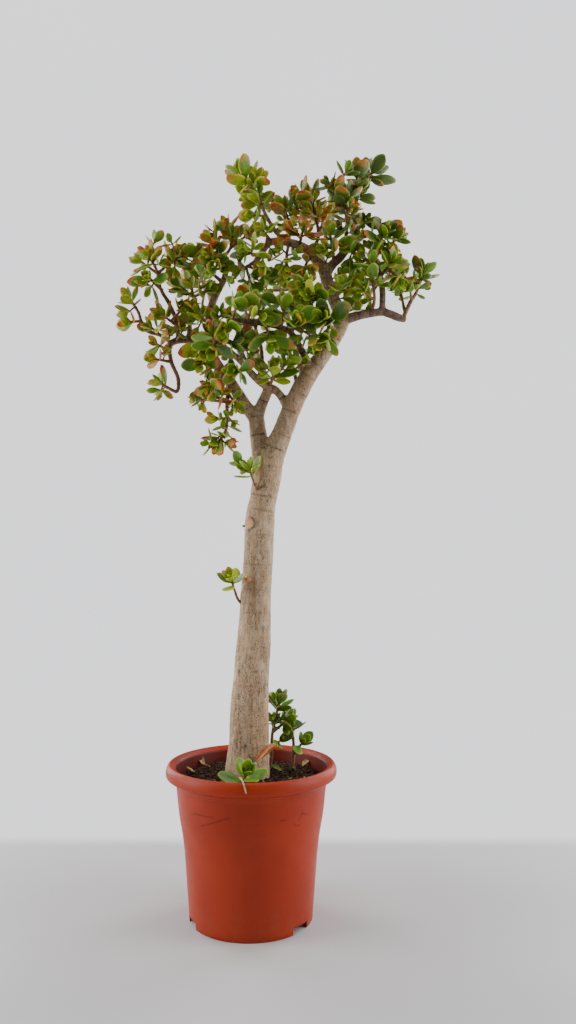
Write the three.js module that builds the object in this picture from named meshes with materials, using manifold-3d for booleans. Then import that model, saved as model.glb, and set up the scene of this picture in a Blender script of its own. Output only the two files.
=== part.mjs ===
// A jade bonsai in a plastic nursery pot, in millimetres, +Z up. The origin is on the pot's
// axis, on the floor that it stands on, and the front of the plant faces -Y.

import * as THREE from 'three';
import { mergeVertices } from 'three/addons/utils/BufferGeometryUtils.js';
import Module from 'manifold-3d';

const wasm = await Module();
wasm.setup();

const GAP = 0.3; // between pieces that touch
const MERGE = 0.001; // vertices this near are one
const SLIVER = 0.1; // a join may move a surface by this to drop needless vertices

// Pot
const POT_SIDES = 22;
const POT_FOOT_WIDTH = 3; // of the ring that it stands on
const POT_FOOT_RADIUS = 118.5;
const POT_RECESS = 12; // the floor of the pot stands this far off the ground
const POT_PAD_RADIUS = 35; // the pad in the middle that also stands on the ground
const POT_OUTSIDE = [ // [radius, height], from the foot up to the underside of the rim
  [119, 10], [125, 85], [128, 123], [132.8, 161], [139.5, 199], [145.5, 252],
];
const POT_INSIDE = [ // [radius, height], from the floor up to the soil
  [116, 16], [125, 123], [136.5, 199], [142.5, 252],
];
const POT_RIM = [ // [radius, height], from the wall out, over the crest and in
  [152, 263], [164, 269], [165.5, 280], [162, 289], [156, 292], [147.5, 286],
];
const NOTCH = { width: 41, height: 12, angles: [53, -67, 173] }; // angles from the front, towards +X
const NOTCH_REACH = 12; // how far a notch's cut reaches across the foot ring
const DRAIN = { radius: 6, from_axis: 78, count: 6, sides: 6 };

// Soil
const SOIL_BOTTOM = POT_INSIDE[0][1] + GAP;
const SOIL_TOP = 265;
const SOIL_MOUND = 4; // higher at the trunk than at the wall by this much
const SOIL_LEVEL_RADIUS = 88; // the soil's top is level as far out as this
const HOLE_OVERSHOOT = 20; // the trunk's hole is cut this far past the soil's top
const STEM_HOLE_SIDES = 8;
const STEM_DEPTH = 40; // how far a basal stem reaches down into the soil
const STEM_RISE = 3; // and how far it stands straight above it

// Trunk
const TRUNK_FOOT = { x: -8, y: 0, bottom: 190, top: 268, radius: 44 };
const TRUNK_SIDES = 10;

// Leafy stems
const TWIG_SIDES = 4;
const TWIG_TAPER = 0.7; // a twig's radius at its tip, as a part of that at its root
const TWIG_THINNEST = 1.9;
const ROOT_STEP = 0.005; // how closely the start of a twig's route is found, as a part of its first step

// Leaves
const LEAF_OUTLINE = [ // [along the leaf, half width], as parts of its length and its width
  [0, 0], [0.44, 0.44], [0.78, 0.45], [1, 0],
];
const LEAF_UPPER_FACE = [[0, 1, 5], [1, 4, 5], [1, 2, 4], [2, 3, 4]]; // between its outline's six points
const LEAF_WIDTH = 0.64; // of its length
const LEAF_THICKNESS = 0.12; // how deep its underside bulges at the middle, as a part of its length
const LEAF_MIDDLE = 0.5; // where along its length it is thickest
const LEAF_ARCH = 0.08; // how far its tip rises off its chord, as a part of its length
const LEAF_ROOT = 0.5; // how deep a leaf's root is sunk into its twig
const LEAF_CLEAR = 0.6; // added all round a leaf while its place is tested
const PAIR_PITCH = 0.13; // between a tuft's pairs, as a part of the leaves' length
const OUTER_TILT = 72; // degrees from the twig, of a tuft's lowest pair
const INNER_TILT = 34;
const INNER_SIZE = 0.68; // of the lowest pair's size
const LONE_PAIR_INNER = 0.4; // how far a tuft's only pair is from a lowest pair to an innermost one
const TOP_PAIR_SET_BACK = 0.9; // from the twig's tip to the innermost pair, in pitches
const BEND_CLEAR = 1; // a tuft's lowest pair stays this far from the twig's last bend
const TILT_SPREAD = 22; // degrees over which the leaves' tilts vary
const TURN_SPREAD = 28; // and their turns
const SMALLEST = 0.88; // the leaves' lengths vary from this
const SIZE_SPREAD = 0.2; // over this
const BENDS = [ // how a leaf gives way to its neighbours: [pitch, yaw, size], tried in this order
  [0, 0, 1], [-16, 0, 1], [16, 0, 1], [0, 20, 1], [0, -20, 1], [-32, 0, 0.9], [30, 0, 0.9],
  [-14, 30, 0.85], [-14, -30, 0.85], [0, 0, 0.72], [-20, 0, 0.72], [18, 0, 0.7],
];

const FINISH = {
  pot: { color: 0xa64a2c, roughness: 0.45 },
  soil: { color: 0x3b2a20, roughness: 0.95 },
  bark: { color: 0x9c8468, roughness: 0.9 },
  foliage: { color: 0x5f7d1e, roughness: 0.45 },
};

// Each limb: its number of sides and its route, [x, y, z, radius]. A route starts inside the limb
// that it grows from.
const LIMBS = {
  bole: { sides: TRUNK_SIDES, route: [
    [-7, 0, 295, 41.9], [-5, 0, 333, 39.6], [-4, 0, 410, 37], [0, 0, 469, 34.9], [4, 0, 527, 33.5],
    [7, 0, 605, 30.6], [12, 0, 684, 29.7], [15, 0, 764, 29.3], [21, 0, 803, 27.3], [29, 0, 853, 28.9],
    [30, 0, 887, 30.9],
  ] },
  right_limb: { sides: 8, route: [
    [28, 0, 851, 26.9], [43, -4, 899, 23.9], [61, -10, 940, 20.4], [77, -15, 981, 19.3],
    [95, -20, 1020, 18.8], [110, -20, 1046, 17.8], [141, -25, 1091, 15.8], [166, -30, 1128, 14.8],
    [178, -30, 1156, 13.8], [168, -30, 1186, 12.9], [155, -25, 1218, 12.4], [146, -20, 1253, 12],
    [141, -20, 1271, 11.5],
  ] },
  crown_branch_left: { sides: 5, route: [
    [145, -20, 1255, 10.5], [125, -20, 1285, 10], [111, -20, 1302, 9.5], [95, -20, 1312, 9],
    [75, -20, 1318, 8.5], [51, -20, 1322, 8], [31, -20, 1316, 7], [17, -20, 1295, 6.5],
    [3, -20, 1275, 6],
  ] },
  crown_branch_right: { sides: 6, route: [
    [145, -20, 1250, 11], [158, -15, 1273, 9.5], [176, -10, 1293, 9.1], [197, 0, 1320, 8.1],
    [219, 5, 1339, 7],
  ] },
  lateral_right: { sides: 5, route: [
    [170, -30, 1154, 10.9], [194, -35, 1161, 9.9], [215, -40, 1165, 8.8], [235, -40, 1169, 8.4],
    [256, -40, 1171, 7.9], [272, -40, 1167, 7.9], [286, -40, 1161, 7.9], [299, -40, 1157, 6.9],
  ] },
  lateral_riser: { sides: 5, route: [
    [256, -40, 1171, 6.9], [257, -40, 1211, 6.4], [253, -35, 1245, 5.9], [246, -30, 1273, 5],
    [239, -20, 1299, 4.5],
  ] },
  back_right: { sides: 4, route: [
    [176, -30, 1166, 6.9], [193, 10, 1193, 6.6], [208, 45, 1216, 6.2], [235, 90, 1237, 5.3],
    [255, 130, 1273, 4.9],
  ] },
  left_limb: { sides: 9, route: [
    [30, 0, 851, 25.9], [18, 3, 896, 20], [11, 5, 940, 17], [7, 5, 973, 16.1],
  ] },
  left_outer_limb: { sides: 7, route: [
    [7, 5, 965, 14], [-19, 5, 1001, 12.6], [-43, 5, 1038, 12.1], [-69, 0, 1073, 11],
    [-83, 0, 1102, 10.6], [-88, 0, 1143, 9.6], [-86, 0, 1184, 8.6], [-80, 0, 1206, 7.6],
    [-70, 0, 1227, 7.1], [-60, 0, 1247, 6.6], [-54, 0, 1270, 6.1], [-52, 0, 1289, 5.6],
  ] },
  left_inner_limb: { sides: 6, route: [
    [7, 5, 961, 13], [17, 0, 992, 11.5], [28, -10, 1014, 10.5], [32, -20, 1026, 10.9],
  ] },
  crossing_branch: { sides: 5, route: [
    [75, -15, 973, 8.9], [61, -20, 1002, 8.4], [46, -20, 1020, 8.4], [32, -20, 1026, 8.9],
    [12, -30, 1038, 7.9], [-7, -40, 1056, 6.9], [-26, -50, 1075, 6.3], [-45, -60, 1090, 5.8],
    [-64, -65, 1103, 4.8],
  ] },
  middle_branch: { sides: 5, route: [
    [119, -23, 1060, 8.4], [103, -40, 1085, 6.9], [91, -50, 1105, 6.3], [77, -60, 1124, 5.8],
    [56, -70, 1132, 5.8], [25, -75, 1137, 5.3], [-9, -80, 1141, 4.8], [-34, -80, 1143, 4.3],
  ] },
  left_level_branch: { sides: 5, route: [
    [-84, 0, 1114, 8.5], [-107, 15, 1128, 8.1], [-128, 20, 1132, 8.1], [-147, 20, 1132, 7.6],
    [-161, 10, 1125, 7.1], [-170, 0, 1114, 6],
  ] },
  left_riser_inner: { sides: 5, route: [
    [-130, 20, 1130, 6.1], [-129, 20, 1169, 5.1], [-122, 15, 1203, 4.6],
  ] },
  left_riser_outer: { sides: 5, route: [
    [-152, 18, 1131, 5.6], [-156, 15, 1168, 5.1], [-170, 10, 1203, 4.6], [-186, 5, 1230, 4.1],
    [-191, 0, 1251, 3.8],
  ] },
  back_crown: { sides: 4, route: [
    [145, -20, 1238, 8.5], [140, 50, 1301, 7.8], [152, 120, 1376, 7.1], [168, 180, 1436, 5.6],
  ] },
  back_left: { sides: 4, route: [
    [-84, 0, 1110, 8], [-83, 60, 1172, 7.3], [-93, 120, 1234, 6.5], [-107, 170, 1286, 5.6],
  ] },
  back_middle: { sides: 4, route: [
    [105, -20, 1038, 8.9], [96, 50, 1094, 8.3], [80, 110, 1163, 7.5], [67, 170, 1236, 6.7],
    [55, 220, 1298, 5.7],
  ] },
  back_inner: { sides: 4, route: [
    [32, -15, 1023, 7.9], [18, 50, 1077, 7.2], [-2, 110, 1146, 6.4], [-15, 160, 1211, 5.5],
  ] },
};

// Each leafy stem: its twigs, each [route, radius at its root, length of its tuft's largest leaves,
// pairs of leaves, turn of the lowest pair in degrees]. A stem's first twig starts inside the limb that
// it grows from, or in the soil, and the others start inside an earlier twig.
const STEMS = {
  stem_top_left: [
    [[[63, -20, 1322], [45, -15, 1345], [27, -12, 1377], [8, -6, 1420], [-23, -20, 1462]], 5, 63, 3, 105],
    [[[8, -6, 1420], [-14, 6, 1424]], 3, 36, 1, 30],
    [[[27, -12, 1377], [-2, -30, 1370]], 3, 43, 2, 160],
    [[[19, -10, 1396], [32, 20, 1424]], 3, 35, 1, 20],
  ],
  stem_top_middle: [
    [[[71, -20, 1318], [75, 0, 1357], [63, -6, 1398]], 4.5, 48, 3, 120],
    [[[75, 0, 1357], [86, 20, 1393], [90, 30, 1420]], 3.6, 42, 1, 80],
  ],
  stem_top_orange: [
    [[[117, -20, 1295], [132, -5, 1336], [128, 0, 1374], [112, 0, 1427]], 4.5, 47, 3, 150],
    [[[132, -5, 1336], [142, 30, 1382], [140, 40, 1410]], 3.5, 45, 2, 30],
  ],
  stem_upper_pink: [
    [[[93, -20, 1312], [97, -40, 1320], [101, -50, 1334]], 4, 48, 2, 0],
    [[[97, -40, 1320], [73, -60, 1330]], 3.5, 45, 2, 40],
  ],
  stem_upper_right_front: [
    [[[164, -13, 1282], [159, -30, 1304], [154, -40, 1330]], 4.5, 48, 2, 45],
    [[[159, -30, 1304], [144, -52, 1296]], 3.5, 42, 2, 0],
    [[[159, -30, 1304], [172, -58, 1300]], 3.4, 44, 1, 30],
  ],
  stem_top_reddish: [
    [[[186, -5, 1307], [188, -10, 1338], [190, -10, 1376], [187, -10, 1420]], 5, 57, 3, 60],
    [[[190, -10, 1376], [176, -14, 1406], [166, -16, 1430]], 3.5, 44, 2, 0],
    [[[188, -10, 1353], [201, -36, 1378]], 3.5, 36, 2, 60],
  ],
  stem_top_right: [
    [[[218, 5, 1338], [212, 10, 1365], [205, 20, 1399], [216, 20, 1437], [214, 20, 1479]], 5.1, 62, 2, 90],
    [[[216, 20, 1437], [231, 10, 1462], [249, 20, 1486]], 4.1, 56, 3, 60],
    [[[214, 8, 1358], [228, -20, 1363]], 3.6, 40, 1, 0],
  ],
  stem_right_upper: [
    [[[239, -22, 1295], [248, -30, 1312], [262, -60, 1325]], 5, 50, 3, 30],
    [[[248, -30, 1312], [273, -40, 1308], [291, -40, 1322]], 4, 42, 3, 165],
  ],
  stem_right_middle: [
    [[[253, -35, 1243], [266, -50, 1256], [276, -60, 1266]], 4.5, 50, 2, 0],
    [[[266, -50, 1256], [288, -70, 1225]], 3.4, 48, 1, 0],
    [[[266, -50, 1256], [287, -35, 1273]], 3.3, 46, 2, 60],
  ],
  stem_right_inner: [
    [[[246, -30, 1271], [231, -40, 1272], [219, -50, 1280]], 4, 45, 2, 30],
    [[[231, -40, 1272], [194, -35, 1298]], 3.4, 46, 2, 0],
  ],
  stem_right_low: [
    [[[235, -40, 1169], [240, -50, 1192], [237, -60, 1218], [229, -60, 1240]], 3.9, 45, 2, 0],
    [[[240, -50, 1192], [214, -70, 1205]], 2.9, 42, 1, 0],
    [[[237, -60, 1218], [234, -75, 1259]], 3.2, 46, 2, 30],
  ],
  stem_right_behind: [
    [[[208, 45, 1216], [194, 20, 1225], [184, 0, 1237]], 4.1, 48, 2, 30],
    [[[199, 28, 1224], [213, 30, 1268]], 3.6, 45, 2, 0],
    [[[199, 28, 1224], [186, 15, 1246]], 3.2, 48, 1, 30],
  ],
  stem_far_right: [
    [[[297, -40, 1158], [312, -40, 1191], [326, -35, 1215], [341, -30, 1259]], 4.9, 41, 3, 105],
    [[[314, -40, 1195], [310, -50, 1218]], 3, 35, 1, 90],
    [[[301, -40, 1169], [295, -20, 1224]], 3.4, 38, 1, 0],
  ],
  stem_middle_hanging_red: [
    [[[117, -20, 1291], [107, -40, 1268], [101, -50, 1250]], 4, 42, 2, 0],
  ],
  stem_middle_hanging: [
    [[[73, -20, 1318], [69, -30, 1292], [69, -40, 1260]], 4, 45, 2, 80],
    [[[69, -30, 1292], [63, 0, 1251]], 3.5, 38, 1, 0],
  ],
  stem_centre_upper: [
    [[[39, -20, 1320], [30, -35, 1326], [20, -45, 1336]], 4, 42, 2, 0],
    [[[30, -35, 1326], [25, -45, 1292], [20, -55, 1264]], 3.2, 42, 2, 60],
  ],
  stem_centre_end: [
    [[[7, -20, 1281], [-13, -20, 1269], [-27, -20, 1263]], 4.5, 45, 2, 0],
    [[[-13, -20, 1269], [-3, 0, 1237]], 3.5, 48, 2, 45],
    [[[-9, -20, 1271], [23, 0, 1262]], 3.5, 45, 1, 0],
  ],
  stem_centre_side: [
    [[[17, -20, 1295], [0, -40, 1288], [-11, -50, 1292]], 4, 45, 2, 30],
  ],
  stem_left_fork: [
    [[[-52, 0, 1286], [-66, -6, 1302], [-85, -16, 1324]], 5.1, 50, 3, 140],
    [[[-59, -3, 1296], [-46, -6, 1312], [-41, 4, 1344]], 4.6, 46, 3, 80],
    [[[-46, -6, 1312], [-7, -10, 1342]], 3.5, 42, 2, 0],
    [[[-61, -4, 1298], [-80, -38, 1294]], 3.5, 44, 2, 20],
  ],
  stem_left_upper: [
    [[[-62, 0, 1245], [-88, -3, 1268], [-116, 6, 1305]], 4.5, 46, 2, 20],
    [[[-86, -3, 1266], [-75, -40, 1274]], 3, 40, 1, 0],
    [[[-86, -3, 1266], [-63, -35, 1261]], 3.2, 44, 2, 20],
  ],
  stem_far_left_top: [
    [[[-189, 0, 1249], [-194, -16, 1268], [-206, -36, 1288]], 4.5, 50, 3, 80],
    [[[-191, -8, 1259], [-224, -20, 1281]], 3.5, 46, 2, 30],
    [[[-191, -8, 1260], [-176, 4, 1280], [-158, 10, 1306]], 4, 45, 3, 80],
    [[[-176, 4, 1280], [-146, -20, 1290]], 3.6, 46, 2, 0],
  ],
  stem_far_left_front: [
    [[[-184, 5, 1230], [-196, -20, 1236], [-203, -40, 1241]], 4.1, 48, 2, 0],
  ],
  stem_left_inner_top: [
    [[[-122, 15, 1201], [-120, 0, 1214], [-123, -10, 1232]], 4.6, 50, 2, 0],
    [[[-120, 0, 1214], [-156, 20, 1248]], 3.5, 45, 2, 30],
    [[[-120, 0, 1214], [-90, -20, 1222]], 3.5, 42, 2, 0],
    [[[-121, 5, 1210], [-129, -30, 1180]], 3.5, 42, 1, 60],
  ],
  stem_far_left_out: [
    [[[-165, 6, 1122], [-186, 0, 1136], [-211, -10, 1142], [-221, -20, 1159],
      [-228, -20, 1179], [-246, -20, 1206]], 4.5, 41, 3, 160],
    [[[-221, -20, 1159], [-243, -40, 1151]], 3.5, 46, 2, 0],
    [[[-186, 0, 1136], [-202, -25, 1146]], 3.5, 40, 2, 0],
  ],
  stem_left_brown: [
    [[[-156, 15, 1161], [-171, 0, 1169], [-183, -10, 1178]], 4.1, 50, 2, 0],
    [[[-165, 6, 1167], [-140, -20, 1183]], 3.5, 42, 1, 0],
  ],
  stem_left_hanging: [
    [[[-170, 2, 1119], [-162, -10, 1079], [-147, -20, 1044], [-147, -30, 1016],
      [-163, -40, 1020], [-179, -40, 1030]], 5, 46, 2, 60],
    [[[-162, -10, 1079], [-192, -30, 1080]], 3.5, 38, 2, 20],
    [[[-168, 0, 1104], [-189, -30, 1110]], 3.5, 40, 2, 30],
  ],
  stem_left_pale: [
    [[[-97, 10, 1123], [-99, -14, 1112], [-96, -34, 1097]], 4.6, 48, 2, 0],
  ],
  stem_front_left: [
    [[[-62, -65, 1101], [-70, -80, 1106], [-75, -90, 1115]], 4.3, 52, 2, 0],
    [[[-67, -73, 1104], [-71, -92, 1084]], 3.8, 45, 2, 160],
    [[[-67, -73, 1104], [-25, -88, 1094]], 3.6, 45, 2, 60],
  ],
  stem_left_low: [
    [[[-79, 0, 1092], [-89, -16, 1076], [-82, -18, 1054]], 4, 42, 2, 0],
    [[[-89, -16, 1076], [-99, -42, 1067]], 3.4, 42, 2, 0],
  ],
  stem_left_low_red: [
    [[[-55, 2, 1049], [-67, -30, 1040], [-79, -40, 1026]], 4, 40, 2, 0],
    [[[-67, -30, 1040], [-84, -55, 1014]], 3.2, 42, 2, 30],
  ],
  stem_crossing_low: [
    [[[-9, -40, 1058], [-18, -60, 1049], [-33, -66, 1045]], 3.9, 43, 2, 140],
    [[[-18, -60, 1049], [-28, -85, 1045]], 3.2, 42, 2, 30],
  ],
  stem_left_limb_side: [
    [[[-88, 0, 1153], [-72, -22, 1160], [-58, -38, 1168]], 4, 38, 2, 20],
  ],
  stem_left_limb_out: [
    [[[-88, 0, 1155], [-98, -20, 1163], [-107, -30, 1172]], 4, 48, 2, 0],
  ],
  stem_centre_dark: [
    [[[-24, -50, 1073], [-15, -70, 1086], [-9, -80, 1100]], 4.4, 60, 2, 0],
  ],
  stem_middle_end: [
    [[[-30, -80, 1143], [-41, -90, 1131], [-48, -100, 1116]], 4.3, 48, 2, 0],
    [[[-37, -86, 1136], [-26, -90, 1171]], 3.8, 45, 2, 30],
  ],
  stem_middle_tall: [
    [[[-7, -80, 1141], [-1, -90, 1156], [3, -90, 1173]], 3.8, 48, 2, 0],
    [[[-1, -90, 1156], [22, -110, 1142]], 3.2, 46, 2, 0],
  ],
  stem_middle_low: [
    [[[25, -75, 1137], [33, -90, 1115], [37, -100, 1097]], 3.8, 48, 2, 0],
  ],
  stem_middle_dense: [
    [[[56, -70, 1132], [62, -90, 1146], [64, -100, 1164]], 4.3, 53, 2, 0],
  ],
  stem_middle_dense_right: [
    [[[75, -60, 1124], [87, -80, 1133], [92, -90, 1148]], 4.4, 50, 2, 45],
    [[[87, -80, 1133], [100, -80, 1122], [112, -80, 1114], [121, -80, 1100]], 3.4, 42, 2, 0],
    [[[87, -80, 1133], [86, -115, 1129]], 3.4, 50, 2, 45],
  ],
  stem_centre_long: [
    [[[12, -30, 1038], [20, -30, 1074], [16, -35, 1111], [5, -40, 1145],
      [-3, -50, 1176], [-9, -50, 1198]], 4.4, 48, 2, 0],
    [[[7, -40, 1139], [28, -40, 1191]], 3.4, 48, 2, 0],
    [[[16, -35, 1111], [29, -65, 1112]], 3.2, 46, 2, 30],
    [[[5, -40, 1145], [-21, -70, 1138]], 3.2, 46, 2, 60],
  ],
  stem_bright: [
    [[[32, -20, 1026], [40, -40, 1036], [42, -50, 1049]], 4.5, 50, 2, 0],
    [[[40, -40, 1036], [69, -40, 1070]], 3.4, 45, 1, 30],
  ],
  stem_right_limb_inner: [
    [[[89, -20, 1032], [81, -10, 1069], [75, 0, 1104]], 4.5, 48, 2, 0],
    [[[83, -10, 1063], [101, -40, 1070]], 3, 38, 1, 0],
  ],
  stem_front_right: [
    [[[168, -30, 1136], [150, -70, 1138], [142, -102, 1142]], 4.9, 54, 3, 20],
    [[[150, -70, 1138], [144, -80, 1104]], 3.9, 50, 1, 90],
    [[[150, -70, 1138], [133, -110, 1138]], 3.9, 52, 3, 20],
  ],
  stem_right_limb_front: [
    [[[157, -25, 1214], [134, -60, 1199], [109, -80, 1175]], 4.5, 53, 2, 0],
    [[[134, -60, 1199], [114, -70, 1215], [96, -80, 1213]], 3.4, 45, 2, 0],
    [[[134, -60, 1199], [100, -95, 1184]], 3.4, 50, 2, 30],
  ],
  stem_right_limb_out: [
    [[[161, -28, 1201], [169, -50, 1208], [173, -60, 1220]], 4, 42, 2, 30],
  ],
  stem_hanging: [
    [[[-45, 4, 1040], [-50, -15, 997], [-49, -20, 960], [-54, -24, 932], [-68, -34, 912]], 4.5, 42, 3, 40],
    [[[-49, -20, 964], [-67, -30, 961]], 3, 36, 1, 0],
    [[[-50, -15, 997], [-109, 10, 1008]], 3.5, 40, 2, 0],
    [[[-50, -14, 1001], [-73, -28, 1004]], 3.5, 45, 2, 140],
    [[[-48, -8, 1015], [-32, -28, 992]], 3.5, 39, 1, 160],
  ],
  shoot_trunk_upper: [
    [[[20, 0, 813], [6, -35, 832], [-4, -48, 862]], 4, 44, 3, 80],
  ],
  shoot_trunk_lower: [
    [[[4, 0, 582], [-24, -10, 603], [-33, -17, 624], [-39, -38, 648]], 3.5, 45, 3, 100],
  ],
  stem_back_crown: [
    [[[168, 180, 1434], [174, 200, 1466], [177, 210, 1491]], 5.6, 48, 2, 0],
    [[[171, 190, 1450], [124, 210, 1473]], 4.5, 48, 1, 0],
    [[[171, 190, 1450], [215, 170, 1446]], 4.5, 50, 1, 30],
  ],
  stem_back_left: [
    [[[-107, 170, 1284], [-122, 200, 1315], [-133, 220, 1343]], 5.6, 48, 2, 0],
    [[[-113, 180, 1296], [-163, 190, 1302]], 4.5, 50, 1, 0],
    [[[-114, 185, 1299], [-122, 205, 1275], [-127, 210, 1242]], 4.5, 45, 1, 0],
  ],
  stem_back_middle: [
    [[[58, 217, 1293], [50, 240, 1322], [46, 250, 1346]], 5.7, 45, 2, 0],
    [[[55, 226, 1305], [106, 230, 1309]], 4.6, 50, 1, 0],
    [[[55, 226, 1305], [7, 220, 1301]], 4.6, 48, 1, 0],
  ],
  stem_back_inner: [
    [[[-15, 160, 1208], [-23, 180, 1237], [-30, 190, 1263]], 5.5, 48, 2, 0],
    [[[-20, 170, 1223], [-64, 190, 1210]], 4.5, 48, 1, 0],
    [[[-17, 165, 1217], [31, 190, 1224]], 4.4, 48, 1, 0],
  ],
  stem_back_right: [
    [[[255, 130, 1270], [266, 150, 1300], [271, 160, 1326]], 5.5, 48, 2, 0],
    [[[260, 140, 1285], [225, 160, 1319]], 4.4, 45, 1, 0],
    [[[260, 140, 1285], [307, 160, 1317]], 4.4, 48, 1, 0],
  ],
  basal_tall: [
    [[[33, 50, 261], [37, 50, 289], [40, 50, 340], [54, 48, 400]], 4.5, 48, 3, 40],
    [[[40, 50, 338], [72, 40, 366]], 3.5, 44, 3, 30],
    [[[38, 50, 306], [56, 30, 326]], 3, 40, 1, 20],
  ],
  basal_right: [
    [[[79, 50, 263], [82, 50, 287], [82, 48, 318], [79, 46, 349]], 4.5, 48, 2, 140],
    [[[82, 50, 295], [100, 30, 322]], 3.5, 40, 2, 20],
  ],
  basal_front: [
    [[[-10, -90, 262], [-10, -98, 279], [-5, -108, 296]], 4.1, 50, 3, 0],
  ],
};

const radians = THREE.MathUtils.degToRad;
const lerp = THREE.MathUtils.lerp;
const vector = ([x, y, z]) => new THREE.Vector3(x, y, z);

// A draw from 0 to 1 that depends on its keys alone, so that one leaf's draw never moves another's.
function draw(...keys) {
  let hash = 2166136261;
  for (const key of keys) {
    hash = Math.imul(hash ^ key, 16777619);
    hash = Math.imul(hash ^ (hash >>> 15), 2246822519);
  }
  return ((hash ^ (hash >>> 13)) >>> 0) / 4294967296;
}

// ---- Solids

function toSolid(geometry) {
  const bare = geometry.index ? geometry.clone() : geometry;
  for (const name of Object.keys(bare.attributes)) {
    if (name !== 'position') bare.deleteAttribute(name);
  }
  const merged = mergeVertices(bare, MERGE);
  const index = merged.index.array;
  const triVerts = [];
  for (let i = 0; i < index.length; i += 3) {
    const [a, b, c] = [index[i], index[i + 1], index[i + 2]];
    if (a !== b && b !== c && c !== a) triVerts.push(a, b, c);
  }
  return new wasm.Manifold(new wasm.Mesh({
    numProp: 3,
    vertProperties: new Float32Array(merged.attributes.position.array),
    triVerts: new Uint32Array(triVerts),
  }));
}

function toMesh(name, solid, finish) {
  const { vertProperties, triVerts } = solid.getMesh();
  const geometry = new THREE.BufferGeometry();
  geometry.setAttribute('position', new THREE.BufferAttribute(vertProperties, 3));
  geometry.setIndex(new THREE.BufferAttribute(triVerts, 1));
  geometry.computeVertexNormals();
  const mesh = new THREE.Mesh(geometry, new THREE.MeshStandardMaterial({ ...finish, metalness: 0 }));
  mesh.name = name;
  return mesh;
}

function closedGeometry(positions, triangles) {
  const geometry = new THREE.BufferGeometry();
  geometry.setAttribute('position', new THREE.Float32BufferAttribute(positions, 3));
  geometry.setIndex(triangles);
  return geometry;
}

// The largest body of a solid: loose scraps and sealed hollows left by a join are dropped.
function largestBody(solid) {
  return solid.decompose().reduce((best, body) => (body.volume() > best.volume() ? body : best));
}

function boxesMeet(a, b) {
  return [0, 1, 2].every((i) => a.min[i] <= b.max[i] && b.min[i] <= a.max[i]);
}

// A closed tube along a route, with a radius at each of its points and mitred bends. Its section
// doesn't twist, and the section's first corner points to endSide at the route's end.
function tube(points, radii, sides, endSide = new THREE.Vector3(1, 0, 0)) {
  const last = points.length - 1;
  const steps = points.slice(1).map((point, i) => point.clone().sub(points[i]).normalize());
  const sideways = [];
  const toEnd = endSide.clone().addScaledVector(steps[last - 1], -endSide.dot(steps[last - 1]));
  sideways[last - 1] = toEnd.normalize();
  for (let i = last - 2; i >= 0; i -= 1) {
    const turn = new THREE.Quaternion().setFromUnitVectors(steps[i + 1], steps[i]);
    sideways[i] = sideways[i + 1].clone().applyQuaternion(turn);
  }
  const positions = [];
  const triangles = [];
  points.forEach((point, i) => {
    const [before, after] = [steps[Math.max(i - 1, 0)], steps[Math.min(i, last - 1)]];
    const mitre = before.clone().add(after).normalize();
    const side = sideways[Math.min(i, last - 1)];
    const across = after.clone().cross(side);
    for (let k = 0; k < sides; k += 1) {
      const angle = (2 * Math.PI * k) / sides;
      const arm = side.clone().multiplyScalar(radii[i] * Math.cos(angle))
        .addScaledVector(across, radii[i] * Math.sin(angle));
      arm.addScaledVector(after, -arm.dot(mitre) / after.dot(mitre));
      positions.push(...arm.add(point).toArray());
    }
  });
  for (let i = 0; i < last; i += 1) {
    for (let k = 0; k < sides; k += 1) {
      const a = i * sides + k;
      const b = i * sides + ((k + 1) % sides);
      triangles.push(a, b, b + sides, a, b + sides, a + sides);
    }
  }
  for (let k = 1; k < sides - 1; k += 1) {
    triangles.push(0, k + 1, k);
    triangles.push(last * sides, last * sides + k, last * sides + k + 1);
  }
  return toSolid(closedGeometry(positions, triangles));
}

function turned(profile, sides) {
  const points = profile.map(([radius, height]) => new THREE.Vector2(radius, height));
  return toSolid(new THREE.LatheGeometry(points, sides).rotateX(Math.PI / 2));
}

function upright(radius, bottom, top, sides, x, y) {
  const geometry = new THREE.CylinderGeometry(radius, radius, top - bottom, sides);
  return toSolid(geometry.rotateX(Math.PI / 2).translate(x, y, (bottom + top) / 2));
}

// ---- Pot and soil

function makePot() {
  const ring = POT_FOOT_RADIUS - POT_FOOT_WIDTH;
  let pot = turned([
    [0, 0], [POT_PAD_RADIUS, 0], [POT_PAD_RADIUS, POT_RECESS], [ring, POT_RECESS], [ring, 0],
    [POT_FOOT_RADIUS, 0], ...POT_OUTSIDE, ...POT_RIM,
    ...[...POT_INSIDE].reverse(), [0, POT_INSIDE[0][1]],
  ], POT_SIDES);
  for (const angle of NOTCH.angles) {
    const notch = new THREE.BoxGeometry(NOTCH.width, NOTCH_REACH, 2 * NOTCH.height);
    notch.translate(0, -(ring + POT_FOOT_WIDTH / 2), 0).rotateZ(radians(angle));
    pot = pot.subtract(toSolid(notch));
  }
  for (let i = 0; i < DRAIN.count; i += 1) {
    const angle = (2 * Math.PI * i) / DRAIN.count;
    const [x, y] = [DRAIN.from_axis * Math.cos(angle), DRAIN.from_axis * Math.sin(angle)];
    pot = pot.subtract(upright(DRAIN.radius, 0, SOIL_BOTTOM + GAP, DRAIN.sides, x, y));
  }
  return pot;
}

function makeSoil(holes) {
  const sides = POT_INSIDE.map(([radius, height]) => [radius - GAP, Math.max(height, SOIL_BOTTOM)]);
  const topRadius = sides[sides.length - 1][0];
  const soil = turned([
    [0, SOIL_BOTTOM], ...sides,
    [topRadius, SOIL_TOP - SOIL_MOUND], [SOIL_LEVEL_RADIUS, SOIL_TOP], [0, SOIL_TOP],
  ], POT_SIDES);
  return holes.reduce((left, hole) => left.subtract(hole), soil);
}

// ---- Trunk

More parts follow.
